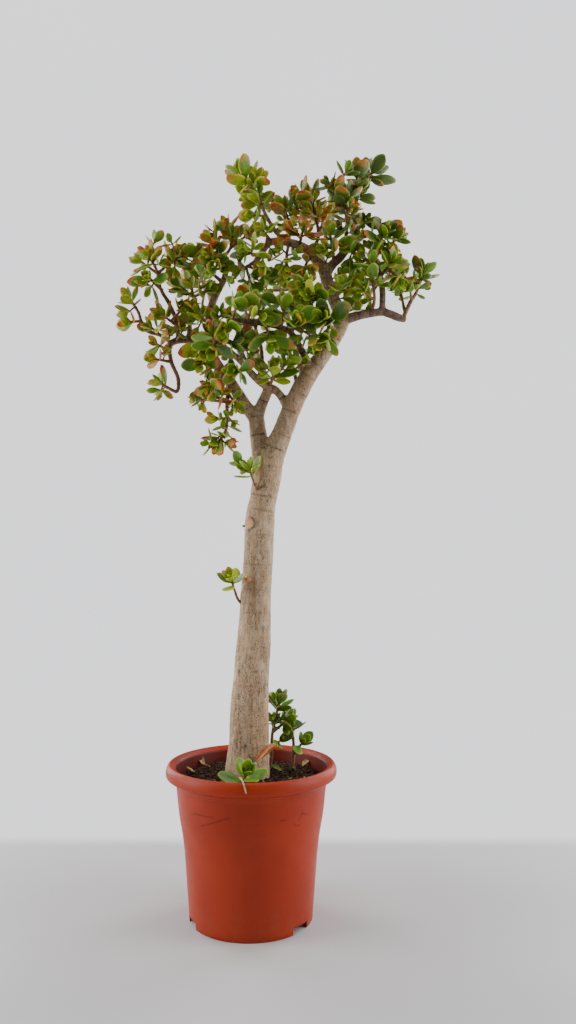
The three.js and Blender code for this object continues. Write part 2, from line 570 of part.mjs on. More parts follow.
function limbSolids() {
  const { x, y, bottom, top, radius } = TRUNK_FOOT;
  return Object.entries(LIMBS).map(([name, { sides, route }]) => {
    const foot = name === 'bole' ? [[x, y, bottom, radius], [x, y, top, radius]] : [];
    const stations = [...foot, ...route];
    return tube(stations.map(vector), stations.map((station) => station[3]), sides);
  });
}

// ---- Leaves

// A leaf lies along +Y from its root at the origin, with its flat upper face towards +Z. A roomy one,
// with clear added all round it, bulges upwards too.
function leafGeometry(length, clear) {
  const half = (length * LEAF_WIDTH) / 2 + clear;
  const reach = length + clear;
  const height = (along) => LEAF_ARCH * length * along * along;
  const edge = [];
  for (const [along, wide] of LEAF_OUTLINE) edge.push([along, 2 * wide]);
  for (const [along, wide] of LEAF_OUTLINE.slice(1, -1).reverse()) edge.push([along, -2 * wide]);
  const positions = [];
  for (const [along, wide] of edge) positions.push(half * wide, reach * along, height(along));
  const middle = height(LEAF_MIDDLE);
  positions.push(0, reach * LEAF_MIDDLE, middle - length * LEAF_THICKNESS - clear);
  positions.push(0, reach * LEAF_MIDDLE, middle + 2 * clear);
  const triangles = clear > 0 ? [] : LEAF_UPPER_FACE.flat();
  const [lower, upper] = [edge.length, edge.length + 1];
  for (let i = 0; i < edge.length; i += 1) {
    const next = (i + 1) % edge.length;
    triangles.push(next, i, lower);
    if (clear > 0) triangles.push(i, next, upper);
  }
  return closedGeometry(positions, triangles);
}

// Where a tuft's leaf stands: its root, the way it points and its length. The key is its twig's own.
function leafPlace({ tip, axis, across, reach, face }, tuft, key, pair, side) {
  const inner = tuft.pairs > 1 ? pair / (tuft.pairs - 1) : LONE_PAIR_INNER;
  const tilt = lerp(OUTER_TILT, INNER_TILT, inner) + TILT_SPREAD * (draw(...key, pair, side, 1) - 0.5);
  const turn = tuft.turn + 90 * pair + 180 * side + TURN_SPREAD * (draw(...key, pair, side, 2) - 0.5);
  const grown = SMALLEST + SIZE_SPREAD * draw(...key, pair, side, 3);
  const length = tuft.size * lerp(1, INNER_SIZE, inner) * grown;
  const outward = across.clone().applyAxisAngle(axis, radians(turn));
  const pitch = Math.min(PAIR_PITCH * tuft.size, (reach - BEND_CLEAR) / tuft.pairs);
  const root = tip.clone()
    .addScaledVector(axis, -(tuft.pairs - 1 - pair + TOP_PAIR_SET_BACK) * pitch)
    .addScaledVector(outward, face - LEAF_ROOT * Math.sin(radians(tilt)));
  return { root, axis, outward, tilt, length };
}

function leafSolid({ root, axis, outward, tilt, length }, [pitch, yaw, size], clear) {
  const side = axis.clone().cross(outward);
  const way = axis.clone().applyAxisAngle(side, radians(tilt + pitch));
  const face = axis.clone().addScaledVector(way, -axis.dot(way)).normalize();
  way.applyAxisAngle(face, radians(yaw));
  const placed = new THREE.Matrix4().makeBasis(way.clone().cross(face), way, face).setPosition(root);
  return toSolid(leafGeometry(length * size, clear).applyMatrix4(placed));
}

// ---- Leafy stems

// The end of a twig: its tip, the way that it points, a level direction across it, the length of its
// last step, and how far its faces are from its middle.
function twigEnd([route, radius]) {
  const tip = vector(route[route.length - 1]);
  const axis = tip.clone().sub(vector(route[route.length - 2]));
  const reach = axis.length();
  axis.normalize();
  const across = new THREE.Vector3(-axis.y, axis.x, 0);
  if (across.lengthSq() < 0.01) across.set(1, 0, 0);
  const face = Math.max(radius * TWIG_TAPER, TWIG_THINNEST) * Math.SQRT1_2;
  return { tip, axis, across: across.normalize(), reach, face };
}

// A twig is square, and each of its tuft's leaves stands on the middle of one of its faces.
function twigSolid([route, radius, , , turn], extra = 0) {
  const { axis, across } = twigEnd([route, radius]);
  const corner = across.applyAxisAngle(axis, radians(turn + 45));
  const tapered = Math.max(route.length - 2, 1);
  const thinning = route.map((_, i) => lerp(1, TWIG_TAPER, Math.min(i / tapered, 1)));
  const radii = thinning.map((part) => Math.max(radius * part, TWIG_THINNEST));
  return tube(route.map(vector), radii.map((value) => value + extra), TWIG_SIDES, corner);
}

// The twig with its route shortened at its root, so that it starts a gap away from its limb.
function rootedTwig([route, ...rest], limbs) {
  const touches = (trial) => {
    const roomy = twigSolid([trial, ...rest], GAP);
    return limbs.some((limb) => !roomy.intersect(limb).isEmpty());
  };
  const free = route.findIndex((_, i) => i > 0 && (i === route.length - 2 || !touches(route.slice(i))));
  const ahead = route.slice(free);
  const [root, next] = [vector(route[free - 1]), vector(route[free])];
  let [inside, outside] = [0, 1 - ROOT_STEP];
  while (outside - inside > ROOT_STEP) {
    const middle = (inside + outside) / 2;
    if (touches([root.clone().lerp(next, middle).toArray(), ...ahead])) inside = middle;
    else outside = middle;
  }
  return [[root.lerp(next, outside).toArray(), ...ahead], ...rest];
}

function tuftLeaves([route, radius, size, pairs, turn], key) {
  const end = twigEnd([route, radius]);
  const places = [];
  for (let pair = 0; pair < pairs; pair += 1) {
    for (const side of [0, 1]) {
      places.push(leafPlace(end, { size, pairs, turn }, key, pair, side));
    }
  }
  return places;
}

// A basal stem stands straight in the soil under its first point.
function plantedTwig([[[x, y], ...route], ...rest]) {
  return [[[x, y, SOIL_TOP - STEM_DEPTH], [x, y, SOIL_TOP + STEM_RISE], ...route], ...rest];
}

function soilHole([[[x, y]], radius]) {
  const bottom = SOIL_TOP - STEM_DEPTH - GAP;
  return upright(radius + GAP, bottom, SOIL_TOP + STEM_RISE, STEM_HOLE_SIDES, x, y);
}

const stemNames = Object.keys(STEMS);
const isBasal = (name) => name.startsWith('basal');

// Every leafy stem: its twigs first, then each leaf where it is clear of all other pieces.
function makeStems(fixed, limbs) {
  const placed = fixed.map((solid) => ({ owner: -1, twig: -1, solid, box: solid.boundingBox() }));
  const parts = stemNames.map((name, owner) => STEMS[name].map((twig, index) => {
    const seated = index > 0 ? twig : isBasal(name) ? plantedTwig(twig) : rootedTwig(twig, limbs);
    const solid = twigSolid(seated);
    placed.push({ owner, twig: index, solid, box: solid.boundingBox() });
    return solid;
  }));
  stemNames.forEach((name, owner) => STEMS[name].forEach((twig, index) => {
    tuftLeaves(twig, [owner, index]).forEach((place) => {
      for (const bend of BENDS) {
        const roomy = leafSolid(place, bend, LEAF_CLEAR);
        const box = roomy.boundingBox();
        const blocked = placed.some((other) => {
          const own = other.owner === owner && (other.twig === index || !other.leaf);
          return !own && boxesMeet(box, other.box) && !roomy.intersect(other.solid).isEmpty();
        });
        if (blocked) continue;
        const solid = leafSolid(place, bend, 0);
        parts[owner].push(solid);
        placed.push({ owner, twig: index, leaf: true, solid, box: solid.boundingBox() });
        break;
      }
    });
  }));
  return parts.map((solids) => largestBody(solids.reduce((sum, solid) => sum.add(solid)).simplify(SLIVER)));
}

// ---- The whole plant

const limbs = limbSolids();
const trunk = largestBody(limbs.reduce((sum, limb) => sum.add(limb)).simplify(SLIVER));
const { x: footX, y: footY, bottom: footBottom, radius: footRadius } = TRUNK_FOOT;
const soil = makeSoil([
  tube([vector([footX, footY, footBottom - GAP]), vector([footX, footY, SOIL_TOP + HOLE_OVERSHOOT])],
    [footRadius + GAP, footRadius + GAP], TRUNK_SIDES),
  ...stemNames.filter(isBasal).map((name) => soilHole(STEMS[name][0])),
]);
const pot = makePot();
const stems = makeStems([pot, soil, ...limbs], limbs);

const plant = new THREE.Group();
plant.add(toMesh('trunk', trunk, FINISH.bark));
stems.forEach((solid, i) => plant.add(toMesh(stemNames[i], solid, FINISH.foliage)));

const group = new THREE.Group();
group.add(toMesh('pot', pot, FINISH.pot));
group.add(toMesh('soil', soil, FINISH.soil));
group.add(plant);

export default group;
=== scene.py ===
"""A jade bonsai in a plastic nursery pot: its looks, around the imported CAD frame.

Blender works in metres, +Z up, with the front of the plant facing -Y. The pot, limbs, stems and leaves
are given in millimetres, as in the CAD source, and scaled by MM where a mesh is made.
"""

import math

import bmesh
import bpy
import numpy as np
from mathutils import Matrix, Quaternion, Vector, noise


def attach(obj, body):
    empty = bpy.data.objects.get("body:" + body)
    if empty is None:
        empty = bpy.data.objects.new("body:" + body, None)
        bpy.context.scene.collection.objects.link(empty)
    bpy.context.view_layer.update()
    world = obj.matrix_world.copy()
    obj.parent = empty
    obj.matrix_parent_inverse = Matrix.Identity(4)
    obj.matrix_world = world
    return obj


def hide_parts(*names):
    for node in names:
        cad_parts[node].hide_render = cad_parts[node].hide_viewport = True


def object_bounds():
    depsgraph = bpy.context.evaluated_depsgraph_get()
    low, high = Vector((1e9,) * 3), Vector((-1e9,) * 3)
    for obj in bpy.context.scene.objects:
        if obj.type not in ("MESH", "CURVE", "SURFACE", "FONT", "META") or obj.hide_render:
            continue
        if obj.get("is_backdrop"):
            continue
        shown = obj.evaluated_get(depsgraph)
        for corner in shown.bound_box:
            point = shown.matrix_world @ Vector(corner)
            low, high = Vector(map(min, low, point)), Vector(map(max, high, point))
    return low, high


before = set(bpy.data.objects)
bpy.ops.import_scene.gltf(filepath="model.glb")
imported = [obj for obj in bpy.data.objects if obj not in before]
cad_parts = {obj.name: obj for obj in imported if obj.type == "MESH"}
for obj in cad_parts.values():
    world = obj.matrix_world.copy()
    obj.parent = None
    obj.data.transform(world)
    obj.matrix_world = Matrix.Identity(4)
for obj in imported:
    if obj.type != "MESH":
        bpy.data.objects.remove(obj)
CAD_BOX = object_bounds()
MM = 0.001

# ---- Sizes, in millimetres, most of them as in the CAD source

POT_FOOT_WIDTH = 3
POT_FOOT_RADIUS = 118.5
POT_RECESS = 12  # the floor of the pot stands this far off the ground
POT_PAD_RADIUS = 35
POT_OUTSIDE = [(119, 10), (125, 85), (128, 123), (132.8, 161), (139.5, 199), (145.5, 252)]  # radius, height
POT_INSIDE = [(116, 16), (125, 123), (136.5, 199), (142.5, 252)]
POT_RIM = [(152, 263), (164, 269), (165.5, 280), (162, 289), (156, 292), (147.5, 286)]
NOTCH_WIDTH, NOTCH_HEIGHT, NOTCH_REACH, NOTCH_ANGLES = 41, 12, 12, (53, -67, 173)
DRAIN_RADIUS, DRAIN_FROM_AXIS, DRAIN_COUNT = 6, 78, 6

SOIL_TOP = 265
SOIL_MOUND = 4  # higher at the trunk than at the wall by this much
SOIL_LEVEL_RADIUS = 88
SOIL_EDGE = POT_INSIDE[-1][0] - 0.4
STEM_DEPTH = 40

TRUNK_FOOT = [(-8, 0, 190, 44), (-8, 0, 268, 44)]  # x, y, z and radius

TWIG_TAPER = 0.7
TWIG_THINNEST = 1.9
LEAF_WIDTH, LEAF_THICKNESS, LEAF_ARCH = 0.64, 0.12, 0.08  # as parts of its length
LEAF_ROOT = 0.5  # sunk into the twig
PAIR_PITCH = 0.13  # between a tuft's pairs, as a part of its largest leaves' length
OUTER_TILT, INNER_TILT = 72, 34  # off the twig's way, of a tuft's lowest pair and of its last one
INNER_SIZE = 0.68
BENDS = [  # how a leaf may give way to its neighbours: pitch, yaw, size
    (0, 0, 1), (-16, 0, 1), (16, 0, 1), (0, 20, 1), (0, -20, 1), (-32, 0, 0.9), (30, 0, 0.9),
    (-14, 30, 0.85), (-14, -30, 0.85), (0, 0, 0.72), (-20, 0, 0.72), (18, 0, 0.7),
]
FOUND = 0.8  # a bend is the built one where a CAD vertex lies this near to the leaf's tip

# Each limb's route: x, y, z and radius.
LIMBS = {
    "bole": [(-7, 0, 295, 41.9), (-5, 0, 333, 39.6), (-4, 0, 410, 37), (0, 0, 469, 34.9), (4, 0, 527, 33.5),
        (7, 0, 605, 30.6), (12, 0, 684, 29.7), (15, 0, 764, 29.3), (21, 0, 803, 27.3), (29, 0, 853, 28.9),
        (30, 0, 887, 30.9)],
    "right_limb": [(28, 0, 851, 26.9), (43, -4, 899, 23.9), (61, -10, 940, 20.4), (77, -15, 981, 19.3),
        (95, -20, 1020, 18.8), (110, -20, 1046, 17.8), (141, -25, 1091, 15.8), (166, -30, 1128, 14.8),
        (178, -30, 1156, 13.8), (168, -30, 1186, 12.9), (155, -25, 1218, 12.4), (146, -20, 1253, 12),
        (141, -20, 1271, 11.5)],
    "crown_branch_left": [(145, -20, 1255, 10.5), (125, -20, 1285, 10), (111, -20, 1302, 9.5),
        (95, -20, 1312, 9), (75, -20, 1318, 8.5), (51, -20, 1322, 8), (31, -20, 1316, 7),
        (17, -20, 1295, 6.5), (3, -20, 1275, 6)],
    "crown_branch_right": [(145, -20, 1250, 11), (158, -15, 1273, 9.5), (176, -10, 1293, 9.1),
        (197, 0, 1320, 8.1), (219, 5, 1339, 7)],
    "lateral_right": [(170, -30, 1154, 10.9), (194, -35, 1161, 9.9), (215, -40, 1165, 8.8),
        (235, -40, 1169, 8.4), (256, -40, 1171, 7.9), (272, -40, 1167, 7.9), (286, -40, 1161, 7.9),
        (299, -40, 1157, 6.9)],
    "lateral_riser": [(256, -40, 1171, 6.9), (257, -40, 1211, 6.4), (253, -35, 1245, 5.9),
        (246, -30, 1273, 5), (239, -20, 1299, 4.5)],
    "back_right": [(176, -30, 1166, 6.9), (193, 10, 1193, 6.6), (208, 45, 1216, 6.2), (235, 90, 1237, 5.3),
        (255, 130, 1273, 4.9)],
    "left_limb": [(30, 0, 851, 25.9), (18, 3, 896, 20), (11, 5, 940, 17), (7, 5, 973, 16.1)],
    "left_outer_limb": [(7, 5, 965, 14), (-19, 5, 1001, 12.6), (-43, 5, 1038, 12.1), (-69, 0, 1073, 11),
        (-83, 0, 1102, 10.6), (-88, 0, 1143, 9.6), (-86, 0, 1184, 8.6), (-80, 0, 1206, 7.6),
        (-70, 0, 1227, 7.1), (-60, 0, 1247, 6.6), (-54, 0, 1270, 6.1), (-52, 0, 1289, 5.6)],
    "left_inner_limb": [(7, 5, 961, 13), (17, 0, 992, 11.5), (28, -10, 1014, 10.5), (32, -20, 1026, 10.9)],
    "crossing_branch": [(75, -15, 973, 8.9), (61, -20, 1002, 8.4), (46, -20, 1020, 8.4),
        (32, -20, 1026, 8.9), (12, -30, 1038, 7.9), (-7, -40, 1056, 6.9), (-26, -50, 1075, 6.3),
        (-45, -60, 1090, 5.8), (-64, -65, 1103, 4.8)],
    "middle_branch": [(119, -23, 1060, 8.4), (103, -40, 1085, 6.9), (91, -50, 1105, 6.3),
        (77, -60, 1124, 5.8), (56, -70, 1132, 5.8), (25, -75, 1137, 5.3), (-9, -80, 1141, 4.8),
        (-34, -80, 1143, 4.3)],
    "left_level_branch": [(-84, 0, 1114, 8.5), (-107, 15, 1128, 8.1), (-128, 20, 1132, 8.1),
        (-147, 20, 1132, 7.6), (-161, 10, 1125, 7.1), (-170, 0, 1114, 6)],
    "left_riser_inner": [(-130, 20, 1130, 6.1), (-129, 20, 1169, 5.1), (-122, 15, 1203, 4.6)],
    "left_riser_outer": [(-152, 18, 1131, 5.6), (-156, 15, 1168, 5.1), (-170, 10, 1203, 4.6),
        (-186, 5, 1230, 4.1), (-191, 0, 1251, 3.8)],
    "back_crown": [(145, -20, 1238, 8.5), (140, 50, 1301, 7.8), (152, 120, 1376, 7.1),
        (168, 180, 1436, 5.6)],
    "back_left": [(-84, 0, 1110, 8), (-83, 60, 1172, 7.3), (-93, 120, 1234, 6.5), (-107, 170, 1286, 5.6)],
    "back_middle": [(105, -20, 1038, 8.9), (96, 50, 1094, 8.3), (80, 110, 1163, 7.5), (67, 170, 1236, 6.7),
        (55, 220, 1298, 5.7)],
    "back_inner": [(32, -15, 1023, 7.9), (18, 50, 1077, 7.2), (-2, 110, 1146, 6.4), (-15, 160, 1211, 5.5)],
}

# Each leafy stem: how red its leaves' margins are and how dark they are, from 0 to 1, and its twigs. The
# darkness is partly the leaves' own deeper green and partly painted shade where a stem stood in shade.
# A twig is its route, its radius at its root, the length of its largest leaves, its pairs of leaves and
# the turn of the lowest pair in degrees.
STEMS = {
    "stem_top_left": (0.45, 0.08, [
        ([(63, -20, 1322), (45, -15, 1345), (27, -12, 1377), (8, -6, 1420),
          (-23, -20, 1462)], 5, 63, 3, 105),
        ([(8, -6, 1420), (-14, 6, 1424)], 3, 36, 1, 30),
        ([(27, -12, 1377), (-2, -30, 1370)], 3, 43, 2, 160),
        ([(19, -10, 1396), (32, 20, 1424)], 3, 35, 1, 20)]),
    "stem_top_middle": (0.6, 0.5, [
        ([(71, -20, 1318), (75, 0, 1357), (63, -6, 1398)], 4.5, 48, 3, 120),
        ([(75, 0, 1357), (86, 20, 1393), (90, 30, 1420)], 3.6, 42, 1, 80)]),
    "stem_top_orange": (0.95, 0.35, [
        ([(117, -20, 1295), (132, -5, 1336), (128, 0, 1374), (112, 0, 1427)], 4.5, 47, 3, 150),
        ([(132, -5, 1336), (142, 30, 1382), (140, 40, 1410)], 3.5, 45, 2, 30)]),
    "stem_upper_pink": (1.0, 0.5, [
        ([(93, -20, 1312), (97, -40, 1320), (101, -50, 1334)], 4, 48, 2, 0),
        ([(97, -40, 1320), (73, -60, 1330)], 3.5, 45, 2, 40)]),
    "stem_upper_right_front": (0.5, 0.45, [
        ([(164, -13, 1282), (159, -30, 1304), (154, -40, 1330)], 4.5, 48, 2, 45),
        ([(159, -30, 1304), (144, -52, 1296)], 3.5, 42, 2, 0),
        ([(159, -30, 1304), (172, -58, 1300)], 3.4, 44, 1, 30)]),
    "stem_top_reddish": (0.55, 0.95, [
        ([(186, -5, 1307), (188, -10, 1338), (190, -10, 1376), (187, -10, 1420)], 5, 57, 3, 60),
        ([(190, -10, 1376), (176, -14, 1406), (166, -16, 1430)], 3.5, 44, 2, 0),
        ([(188, -10, 1353), (201, -36, 1378)], 3.5, 36, 2, 60)]),
    "stem_top_right": (0.42, 1.0, [
        ([(218, 5, 1338), (212, 10, 1365), (205, 20, 1399), (216, 20, 1437),
          (214, 20, 1479)], 5.1, 62, 2, 90),
        ([(216, 20, 1437), (231, 10, 1462), (249, 20, 1486)], 4.1, 56, 3, 60),
        ([(214, 8, 1358), (228, -20, 1363)], 3.6, 40, 1, 0)]),
    "stem_right_upper": (0.5, 0.7, [
        ([(239, -22, 1295), (248, -30, 1312), (262, -60, 1325)], 5, 50, 3, 30),
        ([(248, -30, 1312), (273, -40, 1308), (291, -40, 1322)], 4, 42, 3, 165)]),
    "stem_right_middle": (0.45, 0.45, [
        ([(253, -35, 1243), (266, -50, 1256), (276, -60, 1266)], 4.5, 50, 2, 0),
        ([(266, -50, 1256), (288, -70, 1225)], 3.4, 48, 1, 0),
        ([(266, -50, 1256), (287, -35, 1273)], 3.3, 46, 2, 60)]),
    "stem_right_inner": (0.45, 0.45, [
        ([(246, -30, 1271), (231, -40, 1272), (219, -50, 1280)], 4, 45, 2, 30),
        ([(231, -40, 1272), (194, -35, 1298)], 3.4, 46, 2, 0)]),
    "stem_right_low": (0.45, 0.45, [
        ([(235, -40, 1169), (240, -50, 1192), (237, -60, 1218), (229, -60, 1240)], 3.9, 45, 2, 0),
        ([(240, -50, 1192), (214, -70, 1205)], 2.9, 42, 1, 0),
        ([(237, -60, 1218), (234, -75, 1259)], 3.2, 46, 2, 30)]),
    "stem_right_behind": (0.35, 0.1, [
        ([(208, 45, 1216), (194, 20, 1225), (184, 0, 1237)], 4.1, 48, 2, 30),
        ([(199, 28, 1224), (213, 30, 1268)], 3.6, 45, 2, 0),
        ([(199, 28, 1224), (186, 15, 1246)], 3.2, 48, 1, 30)]),
    "stem_far_right": (0.45, 0.75, [
        ([(297, -40, 1158), (312, -40, 1191), (326, -35, 1215), (341, -30, 1259)], 4.9, 41, 3, 105),
        ([(314, -40, 1195), (310, -50, 1218)], 3, 35, 1, 90),
        ([(301, -40, 1169), (295, -20, 1224)], 3.4, 38, 1, 0)]),
    "stem_middle_hanging_red": (0.95, 0.5, [
        ([(117, -20, 1291), (107, -40, 1268), (101, -50, 1250)], 4, 42, 2, 0)]),
    "stem_middle_hanging": (0.5, 0.2, [
        ([(73, -20, 1318), (69, -30, 1292), (69, -40, 1260)], 4, 45, 2, 80),
        ([(69, -30, 1292), (63, 0, 1251)], 3.5, 38, 1, 0)]),
    "stem_centre_upper": (0.6, 0.3, [
        ([(39, -20, 1320), (30, -35, 1326), (20, -45, 1336)], 4, 42, 2, 0),
        ([(30, -35, 1326), (25, -45, 1292), (20, -55, 1264)], 3.2, 42, 2, 60)]),
    "stem_centre_end": (0.45, 0.45, [
        ([(7, -20, 1281), (-13, -20, 1269), (-27, -20, 1263)], 4.5, 45, 2, 0),
        ([(-13, -20, 1269), (-3, 0, 1237)], 3.5, 48, 2, 45),
        ([(-9, -20, 1271), (23, 0, 1262)], 3.5, 45, 1, 0)]),
    "stem_centre_side": (0.45, 0.45, [
        ([(17, -20, 1295), (0, -40, 1288), (-11, -50, 1292)], 4, 45, 2, 30)]),
    "stem_left_fork": (0.8, 0.35, [
        ([(-52, 0, 1286), (-66, -6, 1302), (-85, -16, 1324)], 5.1, 50, 3, 140),
        ([(-59, -3, 1296), (-46, -6, 1312), (-41, 4, 1344)], 4.6, 46, 3, 80),
        ([(-46, -6, 1312), (-7, -10, 1342)], 3.5, 42, 2, 0),
        ([(-61, -4, 1298), (-80, -38, 1294)], 3.5, 44, 2, 20)]),
    "stem_left_upper": (0.45, 0.45, [
        ([(-62, 0, 1245), (-88, -3, 1268), (-116, 6, 1305)], 4.5, 46, 2, 20),
        ([(-86, -3, 1266), (-75, -40, 1274)], 3, 40, 1, 0),
        ([(-86, -3, 1266), (-63, -35, 1261)], 3.2, 44, 2, 20)]),
    "stem_far_left_top": (0.7, 0.2, [
        ([(-189, 0, 1249), (-194, -16, 1268), (-206, -36, 1288)], 4.5, 50, 3, 80),
        ([(-191, -8, 1259), (-224, -20, 1281)], 3.5, 46, 2, 30),
        ([(-191, -8, 1260), (-176, 4, 1280), (-158, 10, 1306)], 4, 45, 3, 80),
        ([(-176, 4, 1280), (-146, -20, 1290)], 3.6, 46, 2, 0)]),
    "stem_far_left_front": (0.6, 0.3, [
        ([(-184, 5, 1230), (-196, -20, 1236), (-203, -40, 1241)], 4.1, 48, 2, 0)]),
    "stem_left_inner_top": (0.6, 0.4, [
        ([(-122, 15, 1201), (-120, 0, 1214), (-123, -10, 1232)], 4.6, 50, 2, 0),
        ([(-120, 0, 1214), (-156, 20, 1248)], 3.5, 45, 2, 30),
        ([(-120, 0, 1214), (-90, -20, 1222)], 3.5, 42, 2, 0),
        ([(-121, 5, 1210), (-129, -30, 1180)], 3.5, 42, 1, 60)]),
    "stem_far_left_out": (0.7, 0.25, [
        ([(-165, 6, 1122), (-186, 0, 1136), (-211, -10, 1142), (-221, -20, 1159), (-228, -20, 1179),
          (-246, -20, 1206)], 4.5, 41, 3, 160),
        ([(-221, -20, 1159), (-243, -40, 1151)], 3.5, 46, 2, 0),
        ([(-186, 0, 1136), (-202, -25, 1146)], 3.5, 40, 2, 0)]),
    "stem_left_brown": (0.7, 0.4, [
        ([(-156, 15, 1161), (-171, 0, 1169), (-183, -10, 1178)], 4.1, 50, 2, 0),
        ([(-165, 6, 1167), (-140, -20, 1183)], 3.5, 42, 1, 0)]),
    "stem_left_hanging": (0.75, 0.35, [
        ([(-170, 2, 1119), (-162, -10, 1079), (-147, -20, 1044), (-147, -30, 1016), (-163, -40, 1020),
          (-179, -40, 1030)], 5, 46, 2, 60),
        ([(-162, -10, 1079), (-192, -30, 1080)], 3.5, 38, 2, 20),
        ([(-168, 0, 1104), (-189, -30, 1110)], 3.5, 40, 2, 30)]),
    "stem_left_pale": (0.45, 0.1, [
        ([(-97, 10, 1123), (-99, -14, 1112), (-96, -34, 1097)], 4.6, 48, 2, 0)]),
    "stem_front_left": (0.5, 0.6, [
        ([(-62, -65, 1101), (-70, -80, 1106), (-75, -90, 1115)], 4.3, 52, 2, 0),
        ([(-67, -73, 1104), (-71, -92, 1084)], 3.8, 45, 2, 160),
        ([(-67, -73, 1104), (-25, -88, 1094)], 3.6, 45, 2, 60)]),
    "stem_left_low": (0.6, 0.4, [
        ([(-79, 0, 1092), (-89, -16, 1076), (-82, -18, 1054)], 4, 42, 2, 0),
        ([(-89, -16, 1076), (-99, -42, 1067)], 3.4, 42, 2, 0)]),
    "stem_left_low_red": (0.85, 0.5, [
        ([(-55, 2, 1049), (-67, -30, 1040), (-79, -40, 1026)], 4, 40, 2, 0),
        ([(-67, -30, 1040), (-84, -55, 1014)], 3.2, 42, 2, 30)]),
    "stem_crossing_low": (0.45, 0.45, [
        ([(-9, -40, 1058), (-18, -60, 1049), (-33, -66, 1045)], 3.9, 43, 2, 140),
        ([(-18, -60, 1049), (-28, -85, 1045)], 3.2, 42, 2, 30)]),
    "stem_left_limb_side": (0.45, 0.45, [
        ([(-88, 0, 1153), (-72, -22, 1160), (-58, -38, 1168)], 4, 38, 2, 20)]),
    "stem_left_limb_out": (0.45, 0.45, [
        ([(-88, 0, 1155), (-98, -20, 1163), (-107, -30, 1172)], 4, 48, 2, 0)]),
    "stem_centre_dark": (0.55, 0.95, [
        ([(-24, -50, 1073), (-15, -70, 1086), (-9, -80, 1100)], 4.4, 60, 2, 0)]),
    "stem_middle_end": (0.45, 0.45, [
        ([(-30, -80, 1143), (-41, -90, 1131), (-48, -100, 1116)], 4.3, 48, 2, 0),
        ([(-37, -86, 1136), (-26, -90, 1171)], 3.8, 45, 2, 30)]),
    "stem_middle_tall": (0.45, 0.45, [
        ([(-7, -80, 1141), (-1, -90, 1156), (3, -90, 1173)], 3.8, 48, 2, 0),
        ([(-1, -90, 1156), (22, -110, 1142)], 3.2, 46, 2, 0)]),
    "stem_middle_low": (0.45, 0.45, [
        ([(25, -75, 1137), (33, -90, 1115), (37, -100, 1097)], 3.8, 48, 2, 0)]),
    "stem_middle_dense": (0.45, 0.45, [
        ([(56, -70, 1132), (62, -90, 1146), (64, -100, 1164)], 4.3, 53, 2, 0)]),
    "stem_middle_dense_right": (0.45, 0.45, [
        ([(75, -60, 1124), (87, -80, 1133), (92, -90, 1148)], 4.4, 50, 2, 45),
        ([(87, -80, 1133), (100, -80, 1122), (112, -80, 1114), (121, -80, 1100)], 3.4, 42, 2, 0),
        ([(87, -80, 1133), (86, -115, 1129)], 3.4, 50, 2, 45)]),
    "stem_centre_long": (0.45, 0.45, [
        ([(12, -30, 1038), (20, -30, 1074), (16, -35, 1111), (5, -40, 1145), (-3, -50, 1176),
          (-9, -50, 1198)], 4.4, 48, 2, 0),
        ([(7, -40, 1139), (28, -40, 1191)], 3.4, 48, 2, 0),
        ([(16, -35, 1111), (29, -65, 1112)], 3.2, 46, 2, 30),
        ([(5, -40, 1145), (-21, -70, 1138)], 3.2, 46, 2, 60)]),
    "stem_bright": (0.25, 0.1, [
        ([(32, -20, 1026), (40, -40, 1036), (42, -50, 1049)], 4.5, 50, 2, 0),
        ([(40, -40, 1036), (69, -40, 1070)], 3.4, 45, 1, 30)]),
    "stem_right_limb_inner": (0.45, 0.45, [
        ([(89, -20, 1032), (81, -10, 1069), (75, 0, 1104)], 4.5, 48, 2, 0),
        ([(83, -10, 1063), (101, -40, 1070)], 3, 38, 1, 0)]),
    "stem_front_right": (0.4, 0.65, [
        ([(168, -30, 1136), (150, -70, 1138), (142, -102, 1142)], 4.9, 54, 3, 20),
        ([(150, -70, 1138), (144, -80, 1104)], 3.9, 50, 1, 90),
        ([(150, -70, 1138), (133, -110, 1138)], 3.9, 52, 3, 20)]),
    "stem_right_limb_front": (0.45, 0.45, [
        ([(157, -25, 1214), (134, -60, 1199), (109, -80, 1175)], 4.5, 53, 2, 0),
        ([(134, -60, 1199), (114, -70, 1215), (96, -80, 1213)], 3.4, 45, 2, 0),
        ([(134, -60, 1199), (100, -95, 1184)], 3.4, 50, 2, 30)]),
    "stem_right_limb_out": (0.4, 0.3, [
        ([(161, -28, 1201), (169, -50, 1208), (173, -60, 1220)], 4, 42, 2, 30)]),
    "stem_hanging": (0.7, 0.4, [
        ([(-45, 4, 1040), (-50, -15, 997), (-49, -20, 960), (-54, -24, 932),
          (-68, -34, 912)], 4.5, 42, 3, 40),
        ([(-49, -20, 964), (-67, -30, 961)], 3, 36, 1, 0),
        ([(-50, -15, 997), (-109, 10, 1008)], 3.5, 40, 2, 0),
        ([(-50, -14, 1001), (-73, -28, 1004)], 3.5, 45, 2, 140),
        ([(-48, -8, 1015), (-32, -28, 992)], 3.5, 39, 1, 160)]),
    "shoot_trunk_upper": (0.15, 0.35, [
        ([(20, 0, 813), (6, -35, 832), (-4, -48, 862)], 4, 44, 3, 80)]),
    "shoot_trunk_lower": (0.45, 0.15, [
        ([(4, 0, 582), (-24, -10, 603), (-33, -17, 624), (-39, -38, 648)], 3.5, 45, 3, 100)]),
    "stem_back_crown": (0.45, 0.45, [
        ([(168, 180, 1434), (174, 200, 1466), (177, 210, 1491)], 5.6, 48, 2, 0),
        ([(171, 190, 1450), (124, 210, 1473)], 4.5, 48, 1, 0),
        ([(171, 190, 1450), (215, 170, 1446)], 4.5, 50, 1, 30)]),
    "stem_back_left": (0.45, 0.45, [
        ([(-107, 170, 1284), (-122, 200, 1315), (-133, 220, 1343)], 5.6, 48, 2, 0),
